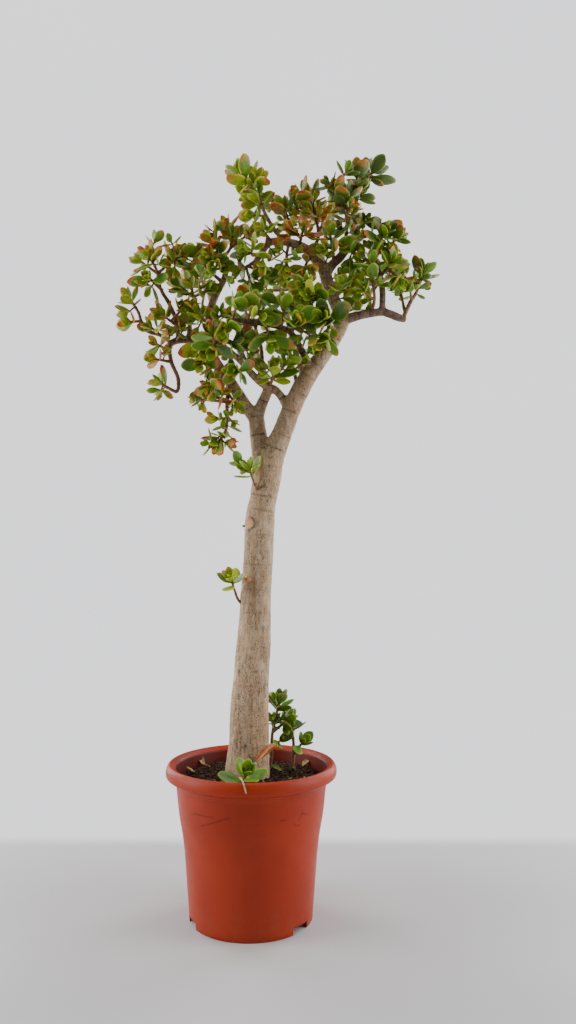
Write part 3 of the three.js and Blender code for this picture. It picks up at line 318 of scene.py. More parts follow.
        ([(-113, 180, 1296), (-163, 190, 1302)], 4.5, 50, 1, 0),
        ([(-114, 185, 1299), (-122, 205, 1275), (-127, 210, 1242)], 4.5, 45, 1, 0)]),
    "stem_back_middle": (0.45, 0.45, [
        ([(58, 217, 1293), (50, 240, 1322), (46, 250, 1346)], 5.7, 45, 2, 0),
        ([(55, 226, 1305), (106, 230, 1309)], 4.6, 50, 1, 0),
        ([(55, 226, 1305), (7, 220, 1301)], 4.6, 48, 1, 0)]),
    "stem_back_inner": (0.45, 0.45, [
        ([(-15, 160, 1208), (-23, 180, 1237), (-30, 190, 1263)], 5.5, 48, 2, 0),
        ([(-20, 170, 1223), (-64, 190, 1210)], 4.5, 48, 1, 0),
        ([(-17, 165, 1217), (31, 190, 1224)], 4.4, 48, 1, 0)]),
    "stem_back_right": (0.45, 0.45, [
        ([(255, 130, 1270), (266, 150, 1300), (271, 160, 1326)], 5.5, 48, 2, 0),
        ([(260, 140, 1285), (225, 160, 1319)], 4.4, 45, 1, 0),
        ([(260, 140, 1285), (307, 160, 1317)], 4.4, 48, 1, 0)]),
    "basal_tall": (0.2, 0.7, [
        ([(33, 50, 261), (37, 50, 289), (40, 50, 340), (54, 48, 400)], 4.5, 48, 3, 40),
        ([(40, 50, 338), (72, 40, 366)], 3.5, 44, 3, 30),
        ([(38, 50, 306), (56, 30, 326)], 3, 40, 1, 20)]),
    "basal_right": (0.25, 0.75, [
        ([(79, 50, 263), (82, 50, 287), (82, 48, 318), (79, 46, 349)], 4.5, 48, 2, 140),
        ([(82, 50, 295), (100, 30, 322)], 3.5, 40, 2, 20)]),
    "basal_front": (0.1, 0.65, [
        ([(-10, -90, 262), (-10, -98, 279), (-5, -108, 296)], 4.1, 50, 3, 0)]),
}


# ---- Meshes

class Shape:
    """Vertices, faces and per-vertex marks of one mesh, added patch by patch."""

    def __init__(self):
        self.points, self.faces, self.finishes, self.marks = [], [], [], {}
        self.count = 0

    def add(self, points, faces, finish=0, **marks):
        self.points.append(points)
        self.faces += [tuple(self.count + i for i in face) for face in faces]
        self.finishes += [finish] * len(faces)
        for name in dict.fromkeys([*self.marks, *marks]):
            rows = self.marks.setdefault(name, [np.zeros(self.count)])
            rows.append(np.broadcast_to(marks.get(name, 0.0), len(points)))
        self.count += len(points)

    def make(self, name, materials, smooth=True):
        mesh = bpy.data.meshes.new(name)
        mesh.from_pydata((np.vstack(self.points) * MM).tolist(), [], self.faces)
        for mark, rows in self.marks.items():
            add_mark(mesh, mark, np.concatenate(rows))
        mesh.polygons.foreach_set("material_index", self.finishes)
        mesh.polygons.foreach_set("use_smooth", [smooth] * len(self.faces))
        for material in materials:
            mesh.materials.append(material)
        mesh.validate()
        mesh.update()
        return bpy.data.objects.new(name, mesh)


def add_mark(mesh, name, values):
    """Stores a value for each vertex, for the materials to read."""
    mesh.attributes.new(name, "FLOAT", "POINT").data.foreach_set("value", np.asarray(values, np.float32))


def show(piece, nodes=()):
    """Links a piece that rides on the plant's one body and stands for CAD nodes, whose parts it hides."""
    bpy.context.scene.collection.objects.link(piece)
    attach(piece, "root")
    if nodes:
        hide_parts(*nodes)


def baked(piece):
    """A piece with its modifiers applied."""
    bpy.context.scene.collection.objects.link(piece)
    graph = bpy.context.evaluated_depsgraph_get()
    graph.update()
    piece.data = bpy.data.meshes.new_from_object(piece.evaluated_get(graph))
    piece.modifiers.clear()
    bpy.context.scene.collection.objects.unlink(piece)
    return piece


def unit(v):
    return v / np.maximum(np.linalg.norm(v, axis=-1, keepdims=True), 1e-12)


def smooth_route(stations, parts=8):
    """Catmull-Rom stations through a route, with each of its steps in so many parts."""
    p = np.array(stations, float)
    p = np.vstack([2 * p[0] - p[1], p, 2 * p[-1] - p[-2]])
    t = (np.arange(parts) / parts)[:, None]
    rows = [0.5 * (2 * b + (c - a) * t + (2 * a - 5 * b + 4 * c - d) * t**2 + (3 * b - a - 3 * c + d) * t**3)
            for a, b, c, d in zip(p, p[1:], p[2:], p[3:])]
    return np.vstack([*rows, p[-2]])


def lengths_along(path):
    """How far along a path each of its points lies."""
    return np.append(0, np.cumsum(np.linalg.norm(np.diff(path[:, :3], axis=0), axis=1)))


def ring_faces(rings, sides, start_cap=True, end_cap=True):
    """The faces of a tube of rings of vertices."""
    faces = []
    for i in range(rings - 1):
        for k in range(sides):
            a, b = i * sides + k, i * sides + (k + 1) % sides
            faces.append((a, b, b + sides, a + sides))
    if start_cap:
        faces.append(tuple(range(sides - 1, -1, -1)))
    if end_cap:
        faces.append(tuple((rings - 1) * sides + k for k in range(sides)))
    return faces


def tube(route, radii, sides):
    """Rings of vertices round a route, without twist, and their faces."""
    route = np.asarray(route, float)
    along = unit(np.gradient(route, axis=0))
    side = np.cross(along[0], (0, 1, 0) if abs(along[0][1]) < 0.9 else (1, 0, 0))
    angles = 2 * np.pi * np.arange(sides) / sides
    rings = []
    for point, way, radius in zip(route, along, radii):
        side = unit(side - way * (side @ way))
        over = np.cross(way, side)
        rings.append(point + radius * (np.outer(np.cos(angles), side) + np.outer(np.sin(angles), over)))
    return np.vstack(rings), ring_faces(len(route), sides)


def draw(*keys):
    """A draw from 0 to 1 that depends on its keys alone."""
    value = 2166136261
    for key in keys:
        value = ((value ^ key) * 16777619) & 0xFFFFFFFF
        value = ((value ^ (value >> 15)) * 2246822519) & 0xFFFFFFFF
    return (value ^ (value >> 13)) / 4294967296


def between(low, high, *keys):
    return lerp(low, high, draw(*keys))


def about(middle, width, *keys):
    """A draw within a width about a middle."""
    return middle + width * (draw(*keys) - 0.5)


def lerp(a, b, t):
    return a + (b - a) * t


def smoothstep(low, high, value):
    t = np.clip((np.asarray(value, float) - low) / (high - low), 0, 1)
    return t * t * (3 - 2 * t)


def noise_at(points, size, seed):
    """Perlin noise at points, from about -1 to 1, with features of a size in millimetres."""
    shift = Vector((seed * 17.3, seed * 9.1, seed * 5.7))
    return np.array([noise.noise(Vector(p) / size + shift) for p in points])


# ---- Materials

def rgb(red, green, blue):
    """A display colour, 0 to 255, as the linear colour that a shader takes."""
    linear = [c / 12.92 if c <= 0.04045 else ((c + 0.055) / 1.055) ** 2.4
              for c in (red / 255, green / 255, blue / 255)]
    return (*linear, 1.0)


class Finish:
    """A material written as calls: each makes a node and returns the socket that the next one takes.
    Colours are display colours or sockets."""

    def __init__(self, name, **shader):
        self.material = bpy.data.materials.new(name)
        self.material.use_nodes = True
        self.tree = self.material.node_tree
        self.shader = self.tree.nodes["Principled BSDF"]
        self.place = self.node("ShaderNodeTexCoord", "Object")
        self.set(**shader)

    def set(self, **inputs):
        for name, value in inputs.items():
            self.feed(self.shader.inputs[name.replace("_", " ")], value)

    def feed(self, socket, value):
        if isinstance(value, bpy.types.NodeSocket):
            self.tree.links.new(value, socket)
        else:
            socket.default_value = value

    def node(self, kind, output, inputs=None, **settings):
        node = self.tree.nodes.new(kind)
        for name, value in settings.items():
            setattr(node, name, value)
        for name, value in (inputs or {}).items():
            self.feed(node.inputs[name], value)
        return node.outputs[output]

    def mark(self, name):
        return self.node("ShaderNodeAttribute", "Fac", attribute_name=name)

    def drawn_out(self, upright):
        """Coordinates in which grain is drawn out along Z, where upright is below 1."""
        if upright == 1:
            return self.place
        return self.node("ShaderNodeMapping", "Vector", {"Vector": self.place, "Scale": (1, 1, upright)})

    def noise(self, scale, detail=2.0, roughness=0.5, upright=1, distortion=0.0):
        return self.node("ShaderNodeTexNoise", "Fac", {
            "Vector": self.drawn_out(upright), "Scale": scale, "Detail": detail, "Roughness": roughness,
            "Distortion": distortion})

    def cells(self, scale, upright=1):
        place = self.drawn_out(upright)
        return self.node("ShaderNodeTexVoronoi", "Distance", {"Vector": place, "Scale": scale})

    def math(self, operation, a, b):
        return self.node("ShaderNodeMath", "Value", {0: a, 1: b}, operation=operation)

    def times(self, a, b):
        return self.math("MULTIPLY", a, b)

    def span(self, value, low, high, to_low=0.0, to_high=1.0):
        """value's range from low to high, smoothly mapped on another range."""
        return self.node("ShaderNodeMapRange", "Result", {
            "Value": value, "From Min": low, "From Max": high, "To Min": to_low, "To Max": to_high},
            interpolation_type="SMOOTHSTEP")

    def mix(self, a, b, factor):
        node = self.tree.nodes.new("ShaderNodeMix")
        node.data_type = "RGBA"
        self.feed(node.inputs["Factor"], factor)
        colours = [socket for socket in node.inputs if socket.type == "RGBA"]
        for socket, colour in zip(colours, (a, b)):
            self.feed(socket, rgb(*colour) if isinstance(colour, tuple) else colour)
        return next(socket for socket in node.outputs if socket.type == "RGBA")

    def layered(self, colour, *coats):
        """A colour under coats, each a colour and how much it covers."""
        for coat, cover in coats:
            colour = self.mix(colour, coat, cover)
        return colour

    def bump(self, height, distance, strength=1.0, under=None):
        inputs = {"Height": height, "Distance": distance, "Strength": strength}
        if under:
            inputs["Normal"] = under
        return self.node("ShaderNodeBump", "Normal", inputs)


def pot_plastic():
    """Satin terracotta plastic: slightly mottled, with scuffs, fine scratches and dust near the ground, and
    painted shade darkening its inside.
    """
    f = Finish("pot_plastic", Specular_IOR_Level=0.28)
    worn = f.times(f.mark("scuff"), f.span(f.noise(300, 3, 0.6, 0.3), 0.3, 0.55, 0.25, 0.75))
    rubbed = f.times(f.mark("rub"), f.span(f.noise(240, 3, 0.6), 0.4, 0.6, 0, 0.4))
    dust = f.times(f.mark("dust"), f.span(f.noise(35, 4, 0.7), 0.35, 0.7, 0, 0.18))
    # The inner lip, inner wall and top of the floor are darkened towards (92, 22, 10) as painted shade.
    f.set(Base_Color=f.layered(
        (164, 46, 8), ((152, 40, 6), f.span(f.noise(9, 3), 0.35, 0.7)),
        ((104, 36, 20), f.span(f.noise(60, 5, 0.7), 0.62, 0.8, 0, 0.3)), ((74, 20, 12), worn),
        ((116, 32, 14), rubbed), ((92, 22, 10), f.times(f.mark("inside"), 0.88)), ((150, 92, 66), dust)))
    rough = f.span(f.noise(25, 4, 0.6), 0.3, 0.7, 0.4, 0.52)
    f.set(Roughness=f.math("ADD", rough, f.times(worn, 0.25)))
    f.set(Normal=f.bump(f.noise(900, 2), 0.00008, under=f.bump(f.noise(14, 2), 0.0012, 0.5)))
    return f.material


def soil_crumb(name, dark, light, roughness=0.95):
    """Moist potting soil, or what lies in it: dark crumbs with paler fibres."""
    f = Finish(name, Roughness=roughness, Specular_IOR_Level=0.25)
    fibre = f.mix(dark, light, f.span(f.noise(300, 6, 0.75), 0.42, 0.75))
    colour = f.mix((0, 0, 0), fibre, f.span(f.noise(90, 4, 0.6), 0.35, 0.65, 0.5, 1.0))
    f.set(Base_Color=colour, Normal=f.bump(f.noise(700, 5, 0.7), 0.0012))
    return f.material


def bark():
    """Beige-grey jade bark: pale and finely pitted on the bole, dark and purplish on thin branches."""
    f = Finish("bark", Specular_IOR_Level=0.3)
    thin = f.mark("thin")
    dull = f.mix((116, 92, 82), (84, 62, 56), f.span(f.noise(120, 4, 0.6), 0.35, 0.65))
    coarse = f.span(f.cells(380, 0.5), 0.18, 0.34, 1, 0)
    small = f.span(f.cells(760, 0.7), 0.22, 0.4, 0.9, 0)
    pit = f.times(f.math("MAXIMUM", coarse, small), f.span(f.noise(45, 3, 0.6, 0.5), 0.3, 0.55))
    cut = f.mix((232, 186, 140), (200, 142, 98), f.span(f.noise(260, 4, 0.7), 0.35, 0.65))
    f.set(Base_Color=f.layered(
        (200, 169, 131), ((163, 130, 96), f.span(f.noise(14, 4, 0.6, 0.4), 0.3, 0.7)),
        ((218, 196, 166), f.span(f.noise(150, 4, 0.6, 0.2), 0.35, 0.7, 0, 0.6)),
        ((184, 134, 92), f.span(f.noise(30, 3, 0.5, 0.5), 0.45, 0.7, 0, 0.35)), (dull, f.times(thin, 0.9)),
        ((140, 124, 116), f.times(f.span(f.noise(26, 3), 0.5, 0.75, 0, 0.35), thin)),
        ((112, 80, 56), f.span(f.noise(240, 4, 0.65, 0.3), 0.52, 0.66, 0, 0.5)),
        ((68, 46, 32), f.times(pit, 0.85)), ((74, 54, 44), f.times(f.mark("ring"), f.mark("ringed"))),
        ((62, 44, 36), f.times(f.mark("crack"), 0.8)), ((98, 96, 108), f.times(f.mark("smudge"), 0.8)),
        (cut, f.mark("scar"))), Roughness=f.span(f.noise(60, 3), 0.3, 0.7, 0.62, 0.82))
    height = f.math("SUBTRACT", f.noise(260, 5, 0.65, 0.4), pit)
    f.set(Normal=f.bump(height, 0.001, under=f.bump(f.noise(1500, 3), 0.0002)))
    return f.material


def jade_leaf():
    """A fleshy jade leaf: waxy green with a paler margin and pale dots. Its margin blushes from peach to
    red, most of all at the tip."""
    f = Finish("jade_leaf", Specular_IOR_Level=0.38)
    tint, blush, rim, along = f.mark("tint"), f.mark("blush"), f.mark("rim"), f.mark("along")
    pale = f.times(f.math("MAXIMUM", f.span(along, 0.35, 0.0), f.span(rim, 0.2, 1.0)),
                   f.span(tint, 0.3, 0.9, 0.42, 0.12))
    green = f.layered(
        # A high tint darkens towards (46, 62, 24): partly the leaves' own deeper green, partly painted shade.
        (142, 184, 22), ((94, 142, 16), f.mark("age")), ((46, 62, 24), f.span(tint, 0.5, 1.0, 0, 0.9)),
        ((198, 206, 44), f.span(tint, 0.35, 0.0, 0, 0.8)),
        ((52, 92, 16), f.span(f.noise(70, 3), 0.38, 0.7, 0, 0.5)),
        ((170, 196, 92), f.span(f.cells(800), 0.1, 0.3, 0.12, 0)),
        # The lower face is darkened towards (112, 140, 40) as painted shade.
        ((112, 140, 40), f.times(f.mark("under"), 0.35)), ((204, 200, 80), pale))
    wander = f.math("ADD", rim, f.span(f.noise(140, 3), 0.3, 0.7, -0.3, 0.2))
    edge = f.times(f.span(wander, 0.35, 1.1), f.span(along, 0.2, 0.8, 0.1, 1))
    edge = f.times(edge, f.span(blush, 0.35, 0.85, 0.05, 0.8))
    reach = f.math("ADD", along, f.span(f.noise(50, 3), 0.3, 0.7, -0.2, 0.15))
    tip = f.times(f.span(reach, 0.55, 1.0), f.span(blush, 0.25, 0.8))
    face = f.times(f.span(f.noise(30, 2), 0.4, 0.62), f.span(blush, 0.6, 1.0, 0, 0.8))
    red = f.math("MAXIMUM", f.math("MAXIMUM", edge, tip), face)
    warm = f.mix((222, 138, 60), (174, 54, 28), f.span(red, 0.35, 1.0))
    f.set(Base_Color=f.mix(green, warm, f.span(red, 0.05, 0.85, 0, 0.9)),
          Roughness=f.span(f.noise(90, 3), 0.3, 0.7, 0.38, 0.52), Coat_Weight=0.06, Coat_Roughness=0.35,
          Normal=f.bump(f.noise(420, 3), 0.00025, under=f.bump(f.noise(60, 2), 0.0015, 0.6)),
          Subsurface_Weight=0.3, Subsurface_Radius=(1.0, 1.0, 0.15), Subsurface_Scale=0.005)
    return f.material


def young_stem():
    """A leafy stem: olive to red at its tip, brown to purplish and ringed at its root."""
    f = Finish("young_stem", Roughness=0.55, Specular_IOR_Level=0.35)
    blush = f.mark("blush")
    woody = f.layered((152, 112, 78), ((128, 68, 54), f.span(blush, 0.5, 1.0)),
                      ((90, 58, 46), f.span(f.noise(220, 4, 0.6), 0.35, 0.7, 0, 0.7)))
    colour = f.layered((138, 136, 46), ((152, 74, 40), blush), (woody, f.span(f.mark("age"), 0.1, 0.6)),
                       ((66, 42, 34), f.times(f.mark("ring"), 0.55)))
    f.set(Base_Color=colour, Normal=f.bump(f.noise(700, 4, 0.6), 0.0004))
    return f.material


def dry_leaf():
    """A shrivelled leaf or scrap: tan, orange-brown or still green, or almost black where it is charred."""
    f = Finish("dry_leaf", Roughness=0.6)
    colour = f.layered((196, 178, 122), ((206, 124, 64), f.mark("blush")), ((112, 136, 52), f.mark("fresh")),
                       ((110, 84, 50), f.span(f.noise(120, 4, 0.6), 0.35, 0.7, 0, 0.6)),
                       ((22, 14, 10), f.mark("black")))
    f.set(Base_Color=colour, Normal=f.bump(f.noise(500, 4, 0.6, distortion=0.6), 0.0008))
    return f.material


# ---- Pot

POT_TURNS = 288  # its section's copies round the axis
POT_LIP = [(146.8, 281), (145.2, 268)]  # radius, height: between its crest and its inside
WALL_STEP, SCUFFED_STEP = 8, 2.2  # between the outside's points
SCUFFED = (188, 238)  # the heights between which they stand closer, to carry the scuffs
SCUFFS = [  # dark scratches on the wall: (angle from the front towards +X in degrees, height), ...
    ((-39, 203), (-34, 207), (-26, 214), (-18, 222)), ((-20, 221), (-13, 226)), ((24, 218), (27, 219)),
    ((-46, 222), (-36, 224), (-26, 222)), ((42, 226), (45, 222), (50, 219)), ((120, 200), (131, 212)),
    ((40, 214), (42, 222), (43, 227)), ((36, 208), (37, 204), (41, 203)), ((-140, 225), (-128, 216)),
    ((170, 199), (178, 206)),
]
RUBS = [  # and pale level rubs
    ((-10, 212), (8, 214)), ((-12, 197), (14, 195)), ((-6, 204), (4, 205)), ((80, 208), (104, 206)),
    ((196, 215), (224, 213)),
]
LINE_FADE = 1.1  # over how many millimetres a scratch or rub fades out
DUST_TOP = 90  # dust lies on the outside below this height


def pot_profile():
    """The pot's section, as radius and height, from the axis under the floor round to the axis on top of
    it, and how many of its points lie outside."""
    wall = smooth_route(POT_OUTSIDE, 24)
    low, high = POT_OUTSIDE[0][1], POT_OUTSIDE[-1][1]
    heights = np.unique([*np.arange(low, high, WALL_STEP), *np.arange(*SCUFFED, SCUFFED_STEP), high])
    outside = np.column_stack([np.interp(heights, wall[:, 1], wall[:, 0]), heights])
    crest = smooth_route([POT_OUTSIDE[-1], *POT_RIM], 6)[1:]
    inner = np.vstack([POT_LIP, smooth_route(POT_INSIDE, 6)[::-1]])
    ring = POT_FOOT_RADIUS - POT_FOOT_WIDTH
    under = [(0, 0.6), (POT_PAD_RADIUS - 2, 0), (POT_PAD_RADIUS, 1), (POT_PAD_RADIUS + 1, POT_RECESS - 1),
             (POT_PAD_RADIUS + 3, POT_RECESS), (ring - 3, POT_RECESS), (ring, POT_RECESS - 2),
             (ring, 1), (ring + 0.8, 0), (POT_FOOT_RADIUS - 0.8, 0), (POT_FOOT_RADIUS, 1)]
    profile = np.array([*under, *outside, *crest, *inner, (0, POT_INSIDE[0][1])], float)
    return profile, len(under) + len(outside) + len(crest)


def near_lines(lines, angles, heights, radii):
    """How near points of the wall, by angle and height, lie to lines on it, from 0 to 1."""
    near = np.full(len(angles), np.inf)
    for line in lines:
        for (a0, h0), (a1, h1) in zip(line, line[1:]):
            turn = (angles - math.radians(a0) + np.pi) % (2 * np.pi) - np.pi
            x, y = turn * radii, heights - h0
            dx, dy = math.radians(a1 - a0) * radii, h1 - h0
            t = np.clip((x * dx + y * dy) / (dx * dx + dy * dy), 0, 1)
            near = np.minimum(near, np.hypot(x - t * dx, y - t * dy))
    return np.clip(1.5 - near / LINE_FADE, 0, 1)


def pot_cutters():
    """A box for each notch of the foot ring, and a rod for each drainage hole."""
    middle = (POT_FOOT_RADIUS - POT_FOOT_WIDTH / 2) * MM
    for way in map(math.radians, NOTCH_ANGLES):
        bpy.ops.mesh.primitive_cube_add(size=1, location=(middle * math.sin(way), -middle * math.cos(way), 0))
        bpy.context.object.scale = (NOTCH_WIDTH * MM, NOTCH_REACH * MM, 2 * NOTCH_HEIGHT * MM)
        bpy.context.object.rotation_euler.z = way
        yield bpy.context.object
    for i in range(DRAIN_COUNT):
        way, place = math.tau * i / DRAIN_COUNT, DRAIN_FROM_AXIS * MM
        bpy.ops.mesh.primitive_cylinder_add(radius=DRAIN_RADIUS * MM, depth=4 * POT_INSIDE[0][1] * MM,
                                            location=(place * math.cos(way), place * math.sin(way), 0))
        yield bpy.context.object


def make_pot(material):
    profile, outer_rows = pot_profile()
    rings = profile[1:-1]
    angle = np.tile(2 * np.pi * np.arange(POT_TURNS) / POT_TURNS, len(rings))
    radius, height = np.repeat(rings, POT_TURNS, axis=0).T
    outer = np.repeat(np.arange(len(rings)) < outer_rows - 1, POT_TURNS)
    shape = Shape()
    # The inner rows are marked so that the material darkens them as painted shade.
    shape.add(np.column_stack([radius * np.sin(angle), -radius * np.cos(angle), height]),
              ring_faces(len(rings), POT_TURNS), inside=1.0 - outer,
              dust=smoothstep(DUST_TOP, 0, height) * outer,
              scuff=near_lines(SCUFFS, angle, height, radius) * outer,
              rub=near_lines(RUBS, angle, height, radius) * outer)
    pot = shape.make("pot_shell", [material])
    cutters = list(pot_cutters())
    for cutter in cutters:
        cut = pot.modifiers.new("cut", "BOOLEAN")
        cut.operation, cut.solver, cut.object = "DIFFERENCE", "EXACT", cutter
    pot = baked(pot)
    for cutter in cutters:
        bpy.data.objects.remove(cutter)
    show(pot, ["pot"])


# ---- Soil and what lies on it

SOIL_SIDES = 350
SOIL_STEP = 2.5  # between its rings
SOIL_SKIRT = 30  # how deep its rim goes down
SOIL_RELIEF = [(2.2, 26), (1.6, 9), (1.0, 3.6)]  # height and size of its lumps
SOIL_SUNK = 1.5  # below its level, so that crumbs lie in it
CRUMB_FIELD = 150  # crumbs are tried this far from the axis
CRUMB_PARTS, CRUMB_DENTS = (0.55, 1.0), (0.72, 1.15)  # of a crumb's size, and of its corners' distance
CRUMB_TILT = 0.35
CRUMB_STAND = 0.35  # of a crumb's height, from the soil's level to its middle


def soil_height(x, y):
    """The soil's level, higher at the trunk than at the wall."""
    return SOIL_TOP - SOIL_MOUND * smoothstep(SOIL_LEVEL_RADIUS, SOIL_EDGE, np.hypot(x, y))


def make_soil(material):
    radii = np.append(np.arange(2.0, SOIL_EDGE - 1, SOIL_STEP), SOIL_EDGE)
    angles = 2 * np.pi * np.arange(SOIL_SIDES) / SOIL_SIDES
    x, y = np.outer(radii, np.sin(angles)).ravel(), np.outer(radii, -np.cos(angles)).ravel()
    flat = np.column_stack([x, y, np.zeros(len(x))])
    lumps = sum(rise * noise_at(flat, size, seed) for seed, (rise, size) in enumerate(SOIL_RELIEF, 1))
    points = np.column_stack([x, y, soil_height(x, y) + lumps - SOIL_SUNK])
    shape = Shape()
    shape.add(points, ring_faces(len(radii), SOIL_SIDES, end_cap=False))
    rim = points[-SOIL_SIDES:]
    below = np.column_stack([rim[:, :2], np.full(SOIL_SIDES, SOIL_TOP - SOIL_SKIRT)])
    shape.add(np.vstack([rim, below]), ring_faces(2, SOIL_SIDES, start_cap=False))
    show(shape.make("soil_bed", [material]), ["soil"])


def icosahedron():
    """The 12 corners and 20 faces of an icosahedron of radius 1."""
    made = bmesh.new()
    bmesh.ops.create_icosphere(made, subdivisions=1, radius=1)
    corners = np.array([v.co for v in made.verts])
    faces = [tuple(v.index for v in face.verts) for face in made.faces]
    made.free()
    return corners, faces


def open_soil(x, y, gap):
    """Whether a point of the soil lies clear of the trunk's foot and of the pot's wall."""
    foot_x, foot_y, _, foot_radius = TRUNK_FOOT[0]
    return math.hypot(x - foot_x, y - foot_y) > foot_radius + gap and math.hypot(x, y) < SOIL_EDGE - 2 - gap


def make_crumbs(name, material, count, sizes, flatness, seed):
    """Crumbs or chips that lie in the soil's surface."""
    random = np.random.RandomState(seed)
    corners, faces = icosahedron()
    shape = Shape()
    while count:
        x, y = random.uniform(-CRUMB_FIELD, CRUMB_FIELD, 2)
        size = sizes[0] * (sizes[1] / sizes[0]) ** random.rand() ** 1.6
        lengths = size * random.uniform(*CRUMB_PARTS, 3) * (1, 1, flatness)
        dents = random.uniform(*CRUMB_DENTS, len(corners))
        tilt = random.normal(0, CRUMB_TILT, 2)
        turn = random.uniform(0, math.tau)
        if not open_soil(x, y, size * 0.5):
            continue
        spin = Quaternion((1, 0, 0), tilt[0]) @ Quaternion((0, 1, 0), tilt[1]) @ Quaternion((0, 0, 1), turn)
        rows = (corners * dents[:, None] * lengths) @ np.array(spin.to_matrix()).T
        shape.add(rows + (x, y, float(soil_height(x, y)) + lengths[2] * CRUMB_STAND), faces)
        count -= 1
    show(shape.make(name, [material], smooth=False))


# ---- Trunk

BARK_VOXEL = 2.45
DULL = {  # how dark and purplish a limb's bark is at its root, and past so many millimetres of it
    "right_limb": (0, 0.25, 420), "crown_branch_left": (0.15, 0.45, 70), "lateral_right": (0.2, 0.8, 40),
    "crown_branch_right": (0.15, 0.5, 70), "lateral_riser": (0.6, 0.7, 30), "middle_branch": (0.3, 0.9, 50),
    "left_outer_limb": (0, 0.35, 260), "left_inner_limb": (0, 0.1, 60), "crossing_branch": (0, 0.15, 120),
    "left_level_branch": (0.4, 0.8, 50), "left_riser_inner": (0.5, 0.8, 50),
    "left_riser_outer": (0.5, 0.8, 50), **{name: (0.2, 0.5, 60) for name in LIMBS if name.startswith("back")},
}
RING_PITCH = 1.7  # between the ring scars on a limb, as a part of its radius
RING_PITCH_LEAST = 11  # in millimetres
RING_WIDTH, RING_DRIFT, RING_DEPTH = 1.5, 2.5, 0.55
SCAR = {"height": 756, "angle": -37, "radius": 11, "stand": 3.5}  # a cut limb's pale end on the bole
CRACKS = [  # dark marks on the bole: angle from the front towards +X, height, half width, half height
    (-20, 600, 10, 3), (-34, 338, 5, 22), (-12, 330, 9, 7), (-26, 350, 6, 10), (20, 470, 12, 2.5),
    (-40, 470, 9, 3), (30, 700, 12, 3), (24, 690, 7, 2), (-30, 420, 4, 6), (45, 500, 5, 9),
    (5, 812, 16, 4), (-15, 828, 12, 3), (-20, 862, 14, 2), (20, 868, 16, 2.5), (-42, 742, 7, 5),
    (160, 520, 10, 5), (200, 380, 7, 15), (120, 620, 9, 4), (240, 700, 10, 4), (-110, 450, 8, 6),
    (90, 350, 8, 9),
]
SMUDGES = [  # grey-blue ones
    (32, 408, 7, 5), (38, 553, 9, 5), (36, 400, 4, 10), (-10, 640, 8, 2), (140, 560, 8, 6), (230, 450, 7, 5),
]
CRACK_DEPTH = 1.1
LUMPS, SMALL_LUMPS, FURROWS = (1.1, 48), (0.5, 15), (1.3, 5.2)  # height and size of the bark's relief
ROUGH = (10, 26)  # bark grows rough between these radii of its limb,
PLAIN = (24, 34)  # and its rings grow faint between these
LIMB_SIDES, STUB_SIDES = 28, 32  # before the skin is made
BLOCK = 4000  # vertices whose nearest limb is looked up at once


def on_bole(height, angle, stand=0.0):
    """A point that stands off the bole's surface, and the way out of it there."""
    x, y, z, radius = np.array([*TRUNK_FOOT, *LIMBS["bole"]], float).T
    out = np.array([math.sin(math.radians(angle)), -math.cos(math.radians(angle)), 0])
    middle = np.array([np.interp(height, z, x), np.interp(height, z, y), height])
    return middle + (np.interp(height, z, radius) + stand) * out, out


def limb_rows():
    """For each limb the points along it: x, y, z, radius, how far along it is, and the limb's number."""
    rows = []
    for number, (name, route) in enumerate(LIMBS.items()):
        path = smooth_route([*TRUNK_FOOT, *route] if name == "bole" else route)
        rows.append(np.column_stack([path, lengths_along(path), np.full(len(path), number)]))
    return rows


LIMB_ROWS = limb_rows()
LIMB_POINTS, LIMB_GIRTHS, LIMB_LENGTHS, LIMB_NUMBERS = (
    np.vstack(LIMB_ROWS)[:, columns] for columns in (slice(3), 3, 4, 5))


def rough_trunk():
    """All limbs as one skin, before its bark."""
    shape = Shape()
    for rows in LIMB_ROWS:
        path, radii = rows[:, :3], rows[:, 3]
        way = unit(path[-1] - path[-2])
        tip = [path[-1] + way * radii[-1] * part for part in (0.45, 0.75)]
        shape.add(*tube([*path, *tip], [*radii, radii[-1] * 0.85, radii[-1] * 0.5], LIMB_SIDES))
    middle, out = on_bole(SCAR["height"], SCAR["angle"])
    stub = [middle - out * 12, middle + out * (SCAR["stand"] - 1), middle + out * SCAR["stand"]]
    shape.add(*tube(stub, [SCAR["radius"] + grown for grown in (3, 0.5, -0.5)], STUB_SIDES))
    skin = shape.make("trunk_bark", [])
    remesh = skin.modifiers.new("skin", "REMESH")
    remesh.mode, remesh.voxel_size = "VOXEL", BARK_VOXEL * MM
    relax = skin.modifiers.new("relax", "LAPLACIANSMOOTH")
    relax.iterations, relax.lambda_factor = 4, 0.9
    return baked(skin)


def of_vertices(mesh, name):
    """The places or the normals of a mesh's vertices."""
    values = np.zeros(3 * len(mesh.vertices), np.float32)
    mesh.vertices.foreach_get(name, values)
    return values.reshape(-1, 3).astype(float)


def along_limbs(points):
    """For each point the number of its nearest limb, how far along that it lies, and the limb's radius."""
    nearest = np.concatenate([
        (np.linalg.norm(points[start:start + BLOCK, None] - LIMB_POINTS, axis=2) - LIMB_GIRTHS).argmin(axis=1)
        for start in range(0, len(points), BLOCK)])
    here, behind = LIMB_POINTS[nearest], LIMB_POINTS[np.maximum(nearest - 1, 0)]
    ahead = np.minimum(nearest + 1, len(LIMB_POINTS) - 1)
    goes_on = LIMB_NUMBERS[ahead] == LIMB_NUMBERS[nearest]
    way = unit(np.where(goes_on[:, None], LIMB_POINTS[ahead] - here, here - behind))
    along = LIMB_LENGTHS[nearest] + ((points - here) * way).sum(axis=1)
    return LIMB_NUMBERS[nearest].astype(int), along, LIMB_GIRTHS[nearest]


